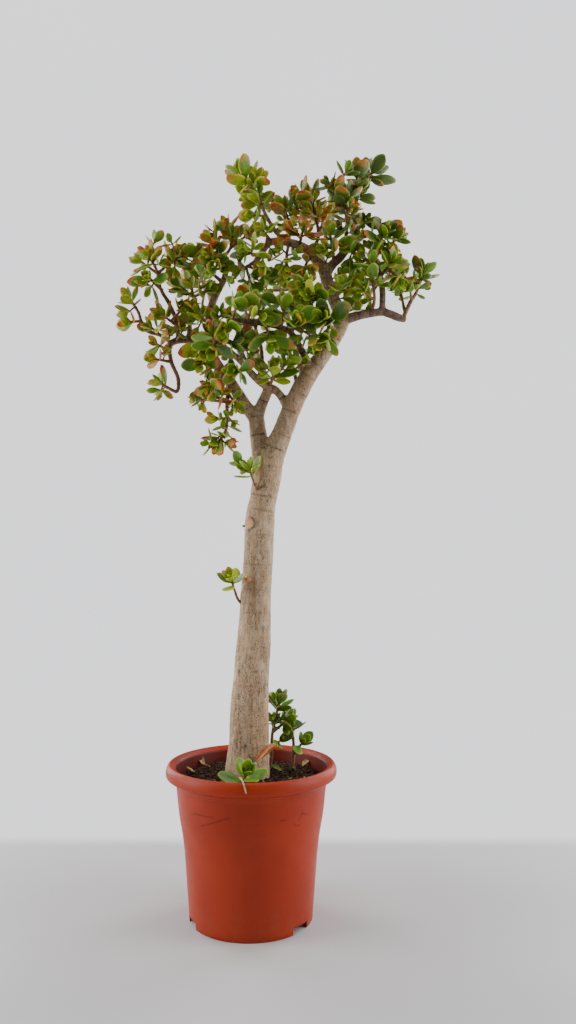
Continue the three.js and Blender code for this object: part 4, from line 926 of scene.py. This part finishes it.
def spots_on_bole(points, normals, spots):
    """How near points lie to the middles of ragged spots on the bole, from 0 to 1."""
    near = np.zeros(len(points))
    for angle, height, wide, tall in spots:
        middle, out = on_bole(height, angle)
        offset = points - middle
        spread = np.hypot(offset @ (-out[1], out[0], 0) / wide, offset[:, 2] / tall)
        near = np.maximum(near, np.exp(-spread**2 * 1.4) * (normals @ out > 0))
    return near * smoothstep(-0.25, 0.35, noise_at(points * (1, 1, 0.45), 5.5, 6))


def rings_on_limbs(points, limb, along):
    """How near points lie to a ring scar of their limb, from 0 to 1."""
    drifted = along + RING_DRIFT * noise_at(points, 40, 4)
    ring = np.zeros(len(points))
    for number, rows in enumerate(LIMB_ROWS):
        mine = limb == number
        at, key = 6.0, 1
        while at < along[mine].max(initial=0):
            near = np.exp(-((drifted[mine] - at) / RING_WIDTH) ** 2)
            ring[mine] = np.maximum(ring[mine], between(0.55, 1, number, key, 7) * near)
            pitch = max(np.interp(at, rows[:, 4], rows[:, 3]) * RING_PITCH, RING_PITCH_LEAST)
            at += pitch * between(0.6, 1.4, number, key, 8)
            key += 1
    return ring * smoothstep(-0.5, 0.15, noise_at(points, 16, 5))


def scar_and_lip(points):
    """How far points lie within the pruned limb's cut, and how near to the lip round it, from 0 to 1."""
    middle, out = on_bole(SCAR["height"], SCAR["angle"], SCAR["stand"])
    depth = (points - middle) @ out
    from_middle = np.linalg.norm(points - middle - np.outer(depth, out), axis=1)
    scar = smoothstep(SCAR["radius"] - 0.2, SCAR["radius"] - 2, from_middle) * (depth > -3) * (depth < 4)
    lip = np.exp(-((from_middle - SCAR["radius"] - 0.8) / 1.4) ** 2) * (np.abs(depth) < SCAR["radius"])
    return scar, lip


def make_trunk(material):
    """The bole and limbs, with ring scars, fine furrows, pits, cracks and a pruned limb's scar."""
    trunk = rough_trunk()
    mesh = trunk.data
    points, normals = of_vertices(mesh, "co") / MM, of_vertices(mesh, "normal")
    limb, along, radius = along_limbs(points)
    ring = rings_on_limbs(points, limb, along)
    scar, lip = scar_and_lip(points)
    crack = np.maximum(spots_on_bole(points, normals, CRACKS), 0.75 * lip)

    rough = smoothstep(*ROUGH, radius)
    relief = LUMPS[0] * rough * noise_at(points, LUMPS[1], 1)
    relief += SMALL_LUMPS[0] * noise_at(points, SMALL_LUMPS[1], 2)
    upright = points * (1, 1, 0.22)
    relief -= FURROWS[0] * np.abs(noise_at(upright, FURROWS[1], 3)) * lerp(0.25, 1, rough)
    relief -= RING_DEPTH * ring + CRACK_DEPTH * crack
    points += normals * ((1 - scar) * relief)[:, None]
    mesh.vertices.foreach_set("co", (points * MM).astype(np.float32).ravel())
    root, past, reach = np.array([DULL.get(name, (0, 0, 1)) for name in LIMBS])[limb].T
    marks = {
        "thin": lerp(root, past, smoothstep(0, 1, along / reach)), "ring": ring,
        "ringed": lerp(1.0, 0.25, smoothstep(*PLAIN, radius)), "crack": crack,
        "smudge": spots_on_bole(points, normals, SMUDGES), "scar": scar,
    }
    for name, values in marks.items():
        add_mark(mesh, name, values)
    mesh.polygons.foreach_set("use_smooth", [True] * len(mesh.polygons))
    mesh.materials.append(material)
    mesh.update()
    show(trunk, ["trunk"])


# ---- Leaves

WIDEST = 0.58  # where along a leaf it is widest
ROOT_WIDTH = 0.13  # of its greatest width
LEAF_DEPTHS = [0, 0.2, 0.5, 0.85, 1], [0.3, 0.55, 0.62, 0.42, 0.12]  # along it, as parts of its thickness
RIM_WIDTH = 0.15  # of its length, within which the mark "rim" rises to 1
USUAL_TONE = (0.45, 0.45)  # as the first two numbers of STEMS
INNER_PAIRS = [(0.58, 27, 0.55), (0.38, 15, 0.25)]  # inside a tuft: size, tilt, pair pitches from the tip
OLDER_STEP = 9  # between the small leaves that stand lower on a twig than its tuft
OLDER_PART = 0.5  # of a twig carries them
SINGLE_PART = 0.45  # of them are single leaves, and the others are side shoots
BARE = {"stem_left_hanging", "stem_far_left_out", "stem_centre_long", "basal_right", "shoot_trunk_upper",
        "shoot_trunk_lower"}  # stems without them
SHOOT = {"length": 13, "radius": 1.5, "size": 0.56, "tilt": 50}  # a short side shoot with two pairs
SHOOT_PAIRS = [(60, 1.0, 5), (30, 0.75, 1)]  # tilt, size, distance from its tip
LEAF_SPACE = 4.2  # an added leaf keeps its middle line this far from every other leaf's
LIMB_SPACE = 2  # and this far from the limbs
NODE_PITCH = 10  # between the rings on a leafy stem, where older leaves stood
NODE_WIDTH = 1.3  # of such a ring
GREEN_REACH = 95  # a twig is woody this far from its tip
TWIG_SIDES = 10


def leaf_rows(length, width=LEAF_WIDTH, thick=LEAF_THICKNESS, arch=LEAF_ARCH, cup=0.0, sweep=0.0,
              twist=0.0, rings=12, sides=14):
    """A leaf along +Y from its root, its upper face to +Z: rings of points, faces and marks. It is a
    fleshy ellipse with a narrow root and a blunt point, and is almost flat on top."""
    t = 0.35 * np.linspace(0, 1, rings) + 0.65 * np.sin(np.linspace(0, np.pi / 2, rings))
    t[-1] = 0.998
    rise = lerp(ROOT_WIDTH, 1, np.sin(np.pi / 2 * np.clip(t / WIDEST, 0, 1)) ** 1.2)
    fall = np.clip(1 - (np.clip(t - WIDEST, 0, 1) / (1 - WIDEST)) ** 2, 0, 1) ** 0.68
    half = 0.46 * width * length * np.where(t < WIDEST, rise, fall)
    depth = thick * length * np.interp(t, *LEAF_DEPTHS)
    depth = np.minimum(depth, half + 0.06 * thick * length)
    angle = 2 * np.pi * np.arange(sides) / sides
    across = np.sign(np.cos(angle)) * np.abs(np.cos(angle)) ** 0.8
    above = np.sign(np.sin(angle)) * np.abs(np.sin(angle)) ** 0.9
    above = np.where(above > 0, 0.45, 0.95) * above
    x = np.outer(half, across)
    z = cup * length * np.outer(half / half.max(), np.abs(across) ** 1.5) + np.outer(depth, above)
    t = t[:, None]
    turn = np.radians(twist) * t
    x, z = (x * np.cos(turn) - z * np.sin(turn) + sweep * length * t**2,
            x * np.sin(turn) + z * np.cos(turn) + arch * length * t**2)
    points = np.stack([x, np.broadcast_to(t * length, x.shape), z], axis=2).reshape(-1, 3)
    to_edge = np.minimum(np.outer(half, 1 - np.abs(np.cos(angle))), (1 - t) * length * 1.1)
    marks = {
        "rim": np.clip(1 - to_edge / (RIM_WIDTH * length), 0, 1).ravel(),
        "along": np.repeat(t, sides),
        # The lower face, which the leaf material darkens as painted shade.
        "under": np.tile(smoothstep(0.2, -0.3, above), rings),
    }
    return points, ring_faces(rings, sides), marks


def turned(v, axis, degrees):
    return Quaternion(axis, math.radians(degrees)) @ v


def level_across(axis):
    """A level direction across another one."""
    across = Vector((-axis.y, axis.x, 0))
    return across.normalized() if across.length_squared > 0.01 else Vector((1, 0, 0))


class Twig:
    """A twig and the tuft at its tip, as STEMS gives them. Its key starts those of its draws."""

    def __init__(self, key, route, radius, size, pairs, turn):
        self.key, self.route, self.radius = key, route, radius
        self.size, self.pairs, self.turn = size, pairs, turn
        self.tip = Vector(route[-1])
        step = self.tip - Vector(route[-2])
        self.way, self.across = step.normalized(), level_across(step.normalized())
        self.face = max(radius * TWIG_TAPER, TWIG_THINNEST) * math.sqrt(0.5)  # from its middle, in the CAD
        self.pitch = min(PAIR_PITCH * size, (step.length - 1) / pairs)  # between its pairs

    def leaf_place(self, pair, side):
        """Where the rule puts a tuft's leaf: its root, its twig's way, its way out of the twig, its tilt
        and its length."""
        key = (*self.key, pair, side)
        inner = pair / (self.pairs - 1) if self.pairs > 1 else 0.4
        tilt = about(lerp(OUTER_TILT, INNER_TILT, inner), 22, *key, 1)
        outward = turned(self.across, self.way, about(self.turn + 90 * pair + 180 * side, 28, *key, 2))
        length = self.size * lerp(1, INNER_SIZE, inner) * between(0.88, 1.08, *key, 3)
        root = self.tip - self.way * (self.pairs - 0.1 - pair) * self.pitch
        root = root + outward * (self.face - LEAF_ROOT * math.sin(math.radians(tilt)))
        return root, self.way, outward, tilt, length


def placed_leaf(place, bend=BENDS[0]):
    """A leaf's axes, as columns, its root and its length, where its place is given and it is bent so."""
    root, twig_way, outward, tilt, length = place
    pitch, yaw, size = bend
    way = turned(twig_way, twig_way.cross(outward), tilt + pitch)
    face = (twig_way - way * twig_way.dot(way)).normalized()
    way = turned(way, face, yaw)
    return np.column_stack([way.cross(face), way, face]), np.array(root), length * size


def middle_line(leaf, parts=(0.45, 0.7, 0.95)):
    """Points along a leaf's middle."""
    axes, root, length = leaf
    return np.array([root + axes @ (0, part * length, LEAF_ARCH * part**2 * length) for part in parts])


def built_leaf(place, corners):
    """The leaf as the CAD has it, found by its tip, or None where it was left out."""
    best, found = FOUND, None
    for bend in BENDS:
        leaf = placed_leaf(place, bend)
        miss = np.linalg.norm(corners - middle_line(leaf, [1]), axis=1).min()
        if miss < best:
            best, found = miss, leaf
    return found


def built_leaves(name, twigs):
    """The leaves of a stem that its CAD node has: each with its keys and its age, from 0 to 1."""
    corners = np.array([v.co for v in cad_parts[name].data.vertices], float) / MM
    for twig in twigs:
        for pair in range(twig.pairs):
            age = 1.0 - 0.55 * pair / (twig.pairs - 1) if twig.pairs > 1 else 0.7
            for side in (0, 1):
                leaf = built_leaf(twig.leaf_place(pair, side), corners)
                if leaf:
                    yield leaf, (*twig.key, pair, side), age


class Foliage(Shape):
    """A mesh of twigs and leaves. Its added leaves keep clear of the limbs and of all leaves of the crown,
    whose middle lines are in one list that all foliage shares."""

    def __init__(self, crown, tone=USUAL_TONE):
        super().__init__()
        self.crown = crown
        self.blush, self.dark = tone

    def add_twig(self, key, route, radius, age=0.0):
        """A round twig with rings at its nodes and a blunt tip, all of it older by an age."""
        slim = np.minimum(np.arange(len(route)) / max(len(route) - 2, 1), 1)
        radii = np.maximum(radius * lerp(1, TWIG_TAPER, slim), TWIG_THINNEST)
        path = smooth_route(np.column_stack([route, radii]))
        along = lengths_along(path)
        from_node = (along + NODE_PITCH * draw(*key, 31)) % NODE_PITCH - NODE_PITCH / 2
        ring = np.exp(-((from_node / NODE_WIDTH) ** 2))
        girth = path[:, 3] * lerp(0.93, 1.09, ring)
        ages = np.clip((along[-1] - along) / GREEN_REACH + age, 0, 1)
        way = unit(path[-1, :3] - path[-2, :3])
        tips = [path[-1, :3] + way * radii[-1] * part for part in (0.4, 0.65)]
        points, faces = tube([*path[:, :3], *tips], [*girth, girth[-1] * 0.8, girth[-1] * 0.35], TWIG_SIDES)
        self.add(points, faces, 1, age=np.repeat([*ages, 0, 0], TWIG_SIDES),
                 ring=np.repeat([*ring, 0, 0], TWIG_SIDES), blush=self.blush)

    def add_leaf(self, leaf, keys, age, **fineness):
        """One leaf, a little unlike every other."""
        axes, root, length = leaf
        rows, faces, marks = leaf_rows(
            length, width=LEAF_WIDTH * between(0.92, 1.06, *keys, 11),
            thick=LEAF_THICKNESS * between(0.9, 1.1, *keys, 12),
            arch=LEAF_ARCH * between(0.3, 1.7, *keys, 13), cup=0.05 * draw(*keys, 14),
            sweep=about(0, 0.05, *keys, 15), twist=about(0, 16, *keys, 16), **fineness)
        # The tint, from the stem's darkness, darkens the leaf: partly its own deeper green, partly painted
        # shade.
        self.add(rows @ axes.T + root, faces, 0, age=age, **marks,
                 tint=np.clip(about(self.dark, 0.7, *keys, 17), 0, 1),
                 blush=np.clip(about(self.blush, 0.5, *keys, 18), 0, 1))

    def offer_leaf(self, place, keys, age):
        """A small leaf, if there is room for it."""
        leaf = placed_leaf(place)
        line = middle_line(leaf)[:, None]
        apart = np.linalg.norm(line - np.vstack(self.crown), axis=2).min()
        from_limb = (np.linalg.norm(line - LIMB_POINTS, axis=2) - LIMB_GIRTHS).min()
        if apart > LEAF_SPACE and from_limb > LIMB_SPACE:
            self.crown.append(middle_line(leaf))
            self.add_leaf(leaf, keys, age, rings=9, sides=12)

    def add_inner_leaves(self, twig):
        """The small leaves inside a twig's tuft."""
        for number, (part, tilt, back) in enumerate(INNER_PAIRS):
            for side in (0, 1):
                keys = (*twig.key, twig.pairs + number, side)
                turn = about(twig.turn + 90 * (twig.pairs + number) + 180 * side, 30, *keys, 2)
                outward = turned(twig.across, twig.way, turn)
                root = twig.tip - twig.way * back * twig.pitch + outward * twig.face * 0.4
                leaf = placed_leaf((root, twig.way, outward, about(tilt, 14, *keys, 1),
                                    twig.size * part * between(0.85, 1.15, *keys, 3)))
                self.crown.append(middle_line(leaf))
                self.add_leaf(leaf, keys, 0.25 - 0.2 * number, rings=9 - 2 * number, sides=12 - 2 * number)

    def add_older_leaves(self, twig):
        """The small leaves and short side shoots that stand lower on a twig than its tuft."""
        path = smooth_route(twig.route)
        along = lengths_along(path)
        girth = max(twig.radius * 0.85, TWIG_THINNEST)
        at, node = along[-1] - (twig.pairs + 0.6) * twig.pitch, 0
        while at > max(along[-1] * (1 - OLDER_PART), 6):
            i = int(np.searchsorted(along, at))
            root, way = Vector(path[i]), Vector(unit(path[i] - path[i - 1]))
            for side in (0, 1):
                keys = (*twig.key, 50 + node, side)
                turn = about(twig.turn + 90 * node + 180 * side, 50, *keys, 2)
                outward = turned(level_across(way), way, turn)
                if draw(*keys, 4) < SINGLE_PART:
                    self.offer_leaf((root + outward * girth * 0.8, way, outward, about(78, 30, *keys, 1),
                                     twig.size * between(0.5, 0.75, *keys, 3)), keys, 1.0)
                else:
                    self.add_shoot(root, way, outward, twig.size * SHOOT["size"], keys)
            at -= OLDER_STEP * between(0.8, 1.3, *twig.key, node, 5)
            node += 1

    def add_shoot(self, root, way, outward, size, keys):
        """A short side shoot with two pairs of small leaves."""
        ahead = turned(way, way.cross(outward), about(SHOOT["tilt"], 24, *keys, 21))
        tip = root + ahead * SHOOT["length"] * between(0.8, 1.4, *keys, 22)
        self.add_twig(keys, [root, root.lerp(tip, 0.5), tip], SHOOT["radius"] / TWIG_TAPER)
        for pair, (tilt, part, back) in enumerate(SHOOT_PAIRS):
            for side in (0, 1):
                inner = (*keys, pair, side)
                outward = turned(level_across(ahead), ahead, 360 * draw(*keys, 23) + 90 * pair + 180 * side)
                self.offer_leaf((tip - ahead * back + outward * SHOOT["radius"] * 0.6, ahead, outward,
                                 about(tilt, 20, *inner, 1), size * part * between(0.8, 1.1, *inner, 3)),
                                inner, 0.5 - 0.3 * pair)


def make_stems(materials):
    """The leafy stems: round twigs, the leaves that each CAD node has, and small ones between them."""
    twigs = {name: [Twig((owner, index), *row) for index, row in enumerate(rows)]
             for owner, (name, (_, _, rows)) in enumerate(STEMS.items())}
    leaves = {name: list(built_leaves(name, twigs[name])) for name in STEMS}
    crown = [middle_line(leaf) for own in leaves.values() for leaf, _, _ in own]
    for name, (*tone, _) in STEMS.items():
        foliage = Foliage(crown, tone)
        for index, twig in enumerate(twigs[name]):
            planted = name.startswith("basal") and index == 0
            start = [(*twig.route[0][:2], SOIL_TOP - STEM_DEPTH / 2)] if planted else []
            foliage.add_twig(twig.key, [*start, *twig.route], twig.radius, 0.25 if index == 0 else 0.0)
        for leaf, keys, age in leaves[name]:
            foliage.add_leaf(leaf, keys, age)
        for twig in twigs[name]:
            foliage.add_inner_leaves(twig)
            if name not in BARE:
                foliage.add_older_leaves(twig)
        show(foliage.make("fine_" + name, materials), [name])
    return crown


SIDE_SHOOTS = [  # tips of short leafy shoots between the stems: x, y, z and their leaves' length
    (39, -20, 1304, 34), (59, -40, 1298, 32), (87, -40, 1292, 34), (225, -50, 1320, 36),
    (233, -40, 1300, 34), (252, -50, 1292, 32), (267, -60, 1304, 30), (176, -40, 1251, 36),
    (191, -30, 1279, 36), (150, -40, 1282, 32), (177, -30, 1344, 34), (200, -20, 1340, 34),
    (207, -20, 1187, 34), (229, -40, 1195, 34), (184, -10, 1211, 34), (94, -70, 1115, 36),
    (122, -50, 1128, 34), (114, -60, 1086, 32), (-6, -30, 1082, 36), (-46, -40, 1083, 32),
    (30, -50, 1057, 30), (-183, -20, 1145, 34), (-162, -30, 1132, 30), (-138, -20, 1141, 32),
    (-107, -30, 1142, 36), (-204, -20, 1226, 34), (-181, -30, 1273, 34), (-154, -20, 1263, 34),
    (-193, -30, 1320, 36), (-162, -30, 1318, 28), (-75, -20, 1349, 34), (-51, -20, 1357, 34),
    (-46, -30, 1241, 30), (-1, -20, 1253, 34), (-251, -20, 1175, 36), (52, -70, 1180, 36),
    (-171, -30, 1094, 30), (-181, -30, 1014, 30), (-46, -30, 911, 34), (-25, -34, 872, 38),
    (10, -20, 1452, 42), (12, -10, 1404, 34), (92, -20, 1424, 34), (150, -30, 1436, 32),
    (188, -30, 1462, 38), (258, -30, 1350, 32), (286, -30, 1288, 30), (-55, -40, 1008, 30),
    (-84, -40, 910, 30),
]


def make_side_shoots(materials, crown):
    """Short leafy shoots, each from the nearest twig or limb and in the tone of its leaves."""
    points, girths, tones = [*LIMB_POINTS], [*LIMB_GIRTHS], [USUAL_TONE] * len(LIMB_POINTS)
    for *tone, twigs in STEMS.values():
        for route, *_ in twigs:
            path = smooth_route(route)
            points += [*path]
            girths += [TWIG_THINNEST] * len(path)
            tones += [tone] * len(path)
    points, girths = np.array(points), np.array(girths)
    foliage = Foliage(crown)
    for number, (*tip, size) in enumerate(SIDE_SHOOTS):
        nearest = (np.linalg.norm(points - tip, axis=1) - girths).argmin()
        root = points[nearest]
        foliage.blush, foliage.dark = tones[nearest]
        middle = (root + tip) / 2 + (0, -3, -0.12 * np.linalg.norm(root - tip))
        key = (len(STEMS), number)
        twig = Twig(key, [root, middle, tip], SHOOT["radius"] / TWIG_TAPER, size, 2, 90 * draw(*key, 9))
        foliage.add_twig(key, twig.route, twig.radius)
        for pair in (0, 1):
            for side in (0, 1):
                foliage.offer_leaf(twig.leaf_place(pair, side), (*key, pair, side), 0.9 - 0.4 * pair)
        foliage.add_inner_leaves(twig)
    show(foliage.make("side_shoots", materials))


# ---- Litter: dry leaves and chips on the soil

FALLEN = [  # x, y, turn, lean, length, how orange it is, or -1 for a green one
    (-100, 86, 40, 20, 26, 0.2), (-82, 55, 110, 12, 20, 0.1), (100, 78, -30, 10, 24, 0.1),
    (62, 20, 75, 14, 27, -1), (80, 26, 190, 18, 22, -1), (-60, -70, 200, 8, 18, 0.4),
    (30, -108, 20, 10, 16, 0.3), (-112, 20, 70, 12, 22, 0.25), (20, 112, 120, 10, 24, 0.3),
    (-40, 104, 10, 14, 20, 0.5), (112, -30, 150, 12, 20, 0.6),
]
DRY_LEAF = [(8, -40, 300), (52, -48, 338)]  # a withered leaf that leans on the trunk's foot
RIM_STALK = [(-15, -128, 293), (-12, -148, 297), (-8, -160, 294), (-4, -167, 284), (-2, -168, 277)]
NUB = {"height": 751, "angle": -84, "radius": 2.2, "stand": 5}  # of a broken twig on the bole
BUD = {"height": 645, "angle": -22, "length": 17, "way": (-0.35, 0, 0.25)}


def make_fallen(material):
    """Shrivelled leaves that lie on the soil."""
    shape = Shape()
    for number, (x, y, turn, lean, length, orange) in enumerate(FALLEN):
        rows, faces, _ = leaf_rows(length, width=0.5, thick=0.09, arch=0.2, cup=0.14, sweep=0.1,
                                   twist=50 * (draw(number, 41) - 0.3))
        rows[:, 2] += 0.9 * np.sin(rows[:, 1] * 0.9 + rows[:, 0] * 0.6)
        spin = Quaternion((0, 0, 1), math.radians(turn)) @ Quaternion((1, 0, 0), math.radians(lean))
        shape.add(rows @ np.array(spin.to_matrix()).T + (x, y, float(soil_height(x, y)) + 2.0), faces,
                  blush=max(orange, 0), fresh=float(orange < 0))
    show(shape.make("fallen_leaves", [material]))


def axes_along(way, near_up):
    """Axes, as columns, of a leaf that points along a way."""
    side = way.cross(Vector(near_up)).normalized()
    return np.column_stack([side, way, side.cross(way)])


def make_dried(material):
    """Dry scraps still on the plant: a withered leaf by the foot, a bare stalk over the rim, a bud on the
    bole and the nub of a broken twig."""
    shape = Shape()
    root, tip = map(Vector, DRY_LEAF)
    rows, faces, _ = leaf_rows((tip - root).length, width=0.3, thick=0.1, arch=0.12, cup=0.14, sweep=0.06,
                               twist=60)
    shape.add(rows @ axes_along((tip - root).normalized(), (0, -1, 0.5)).T + root, faces, blush=0.95)
    stalk = smooth_route(RIM_STALK, 6)
    shape.add(*tube(stalk, np.linspace(1.9, 1.3, len(stalk)), 8), blush=0.15)
    middle, out = on_bole(NUB["height"], NUB["angle"], -2)
    nub = [middle, middle + out * (NUB["stand"] - 1) + (0, 0, 0.6), middle + out * (NUB["stand"] + 2)]
    shape.add(*tube(nub, [NUB["radius"] * part for part in (1.3, 1, 0.7)], 8), black=0.9)
    middle, out = on_bole(BUD["height"], BUD["angle"], -1)
    rows, faces, _ = leaf_rows(BUD["length"], width=0.9, thick=0.8, arch=0.0, cup=0.06)
    way = (Vector(out) + Vector(BUD["way"])).normalized()
    shape.add(rows @ axes_along(way, (0, 0, 1)).T + middle, faces, blush=0.8)
    show(shape.make("dried_scraps", [material]))


# ---- Stage, in metres

CAMERA = {"place": (0.071, -1.626, 0.68), "pitch": 3.5, "focal_pixels": 820, "image_height": 1024,
          "sensor": 36}
WALL = {"radius": 3.5, "height": 7.0, "light": 2.1}  # a pale wall that only the camera sees
SWEEP = (0.37, 0.47)  # behind the plant, where the floor fades into the wall
SWEEP_RISE = 0.002  # above the floor
AIR = {"Color": (0.80, 0.82, 0.86, 1), "Strength": 0.34}
SOFTBOXES = [  # name, place, height that it points at on the axis, width and height, power
    ("left_softbox", (-1.9, -0.3, 1.15), 0.8, (1.1, 2.1), 44),
    ("right_softbox", (2.0, -0.3, 1.15), 0.8, (1.1, 2.1), 42),
    ("rim_softbox", (-1.3, 1.2, 1.2), 0.8, (0.8, 2.0), 26),
    ("rim_softbox", (1.3, 1.2, 1.2), 0.8, (0.8, 2.0), 26),
    ("top_softbox", (0, -0.2, 2.9), 1.0, (1.8, 1.4), 18),
]


def sheet(name, points, faces, material):
    """A part of the stage."""
    mesh = bpy.data.meshes.new(name)
    mesh.from_pydata(points, [], faces)
    mesh.polygons.foreach_set("use_smooth", [True] * len(mesh.polygons))
    mesh.materials.append(material)
    piece = bpy.data.objects.new(name, mesh)
    bpy.context.scene.collection.objects.link(piece)
    piece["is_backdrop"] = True
    return piece


def round_sheet(name, profile, material, sides=96):
    """A sheet turned round the axis from radii and heights."""
    points = [(r * math.cos(a), r * math.sin(a), z) for r, z in profile
              for a in np.linspace(0, math.tau, sides, endpoint=False)]
    return sheet(name, points, ring_faces(len(profile), sides, profile[0][0] < 1, False), material)


def studio_glow(name):
    """The pale light of the wall."""
    f = Finish(name, Base_Color=rgb(0, 0, 0), Specular_IOR_Level=0.0, Emission_Strength=WALL["light"])
    f.set(Emission_Color=f.mix((222, 222, 226), (216, 217, 221), f.noise(0.8, 2)))
    return f


def make_backdrop():
    """A pale floor and a pale wall round it, which the floor fades into behind the plant."""
    far = WALL["radius"]
    paint = Finish("studio_paint", Roughness=0.6, Specular_IOR_Level=0.2)
    paint.set(Base_Color=paint.mix((206, 203, 203), (198, 195, 196), paint.noise(3, 2)))
    round_sheet("studio_floor", [(0.4, 0.0), (1.2, 0.0), (far + 0.05, 0.0)], paint.material)
    glow = studio_glow("studio_glow")
    wall = round_sheet("studio_wall", [(far, 0.0), (far, WALL["height"])], glow.material)
    fade = studio_glow("studio_sweep")
    fade.set(Alpha=fade.span(fade.node("ShaderNodeSeparateXYZ", "Y", {"Vector": fade.place}), *SWEEP))
    corners = [(-far, SWEEP[0]), (far, SWEEP[0]), (far, far), (-far, far)]
    sweep = sheet("studio_sweep", [(x, y, SWEEP_RISE) for x, y in corners], [(0, 1, 2, 3)], fade.material)
    for piece in (wall, sweep):
        for ray in ("diffuse", "glossy", "transmission", "volume_scatter", "shadow"):
            setattr(piece, "visible_" + ray, False)


def make_light():
    """Grey air, and soft light from both sides, from behind and from above."""
    world = bpy.data.worlds.new("studio_air")
    world.use_nodes = True
    for name, value in AIR.items():
        world.node_tree.nodes["Background"].inputs[name].default_value = value
    bpy.context.scene.world = world
    for name, place, aim, size, power in SOFTBOXES:
        light = bpy.data.lights.new(name, "AREA")
        light.shape, (light.size, light.size_y), light.energy = "RECTANGLE", size, power
        lamp = bpy.data.objects.new(name, light)
        lamp.location = place
        lamp.rotation_euler = (Vector((0, 0, aim)) - Vector(place)).to_track_quat("-Z", "Y").to_euler()
        bpy.context.scene.collection.objects.link(lamp)


def make_camera():
    lens = bpy.data.cameras.new("camera")
    lens.sensor_width = CAMERA["sensor"]
    lens.lens = CAMERA["focal_pixels"] / CAMERA["image_height"] * CAMERA["sensor"]
    camera = bpy.data.objects.new("camera", lens)
    camera.location = CAMERA["place"]
    camera.rotation_euler = (math.radians(90 + CAMERA["pitch"]), 0, 0)
    bpy.context.scene.collection.objects.link(camera)
    bpy.context.scene.camera = camera


# ---- The whole plant

make_backdrop()
make_light()
make_camera()
make_pot(pot_plastic())
make_soil(soil_crumb("soil", (52, 36, 27), (104, 76, 54)))
make_crumbs("soil_crumbs", soil_crumb("soil_lumps", (58, 40, 30), (120, 88, 62)), 1700, (1.8, 7), 0.7, 11)
make_crumbs("bark_chips", soil_crumb("chips", (128, 98, 66), (204, 176, 134), 0.8), 45, (3, 9), 0.35, 12)
make_trunk(bark())
leafy = [jade_leaf(), young_stem()]
make_side_shoots(leafy, make_stems(leafy))
dry = dry_leaf()
make_fallen(dry)
make_dried(dry)

boxes = {"cad": CAD_BOX, "visual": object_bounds()}
{name: [list(low), list(high)] for name, (low, high) in boxes.items()}
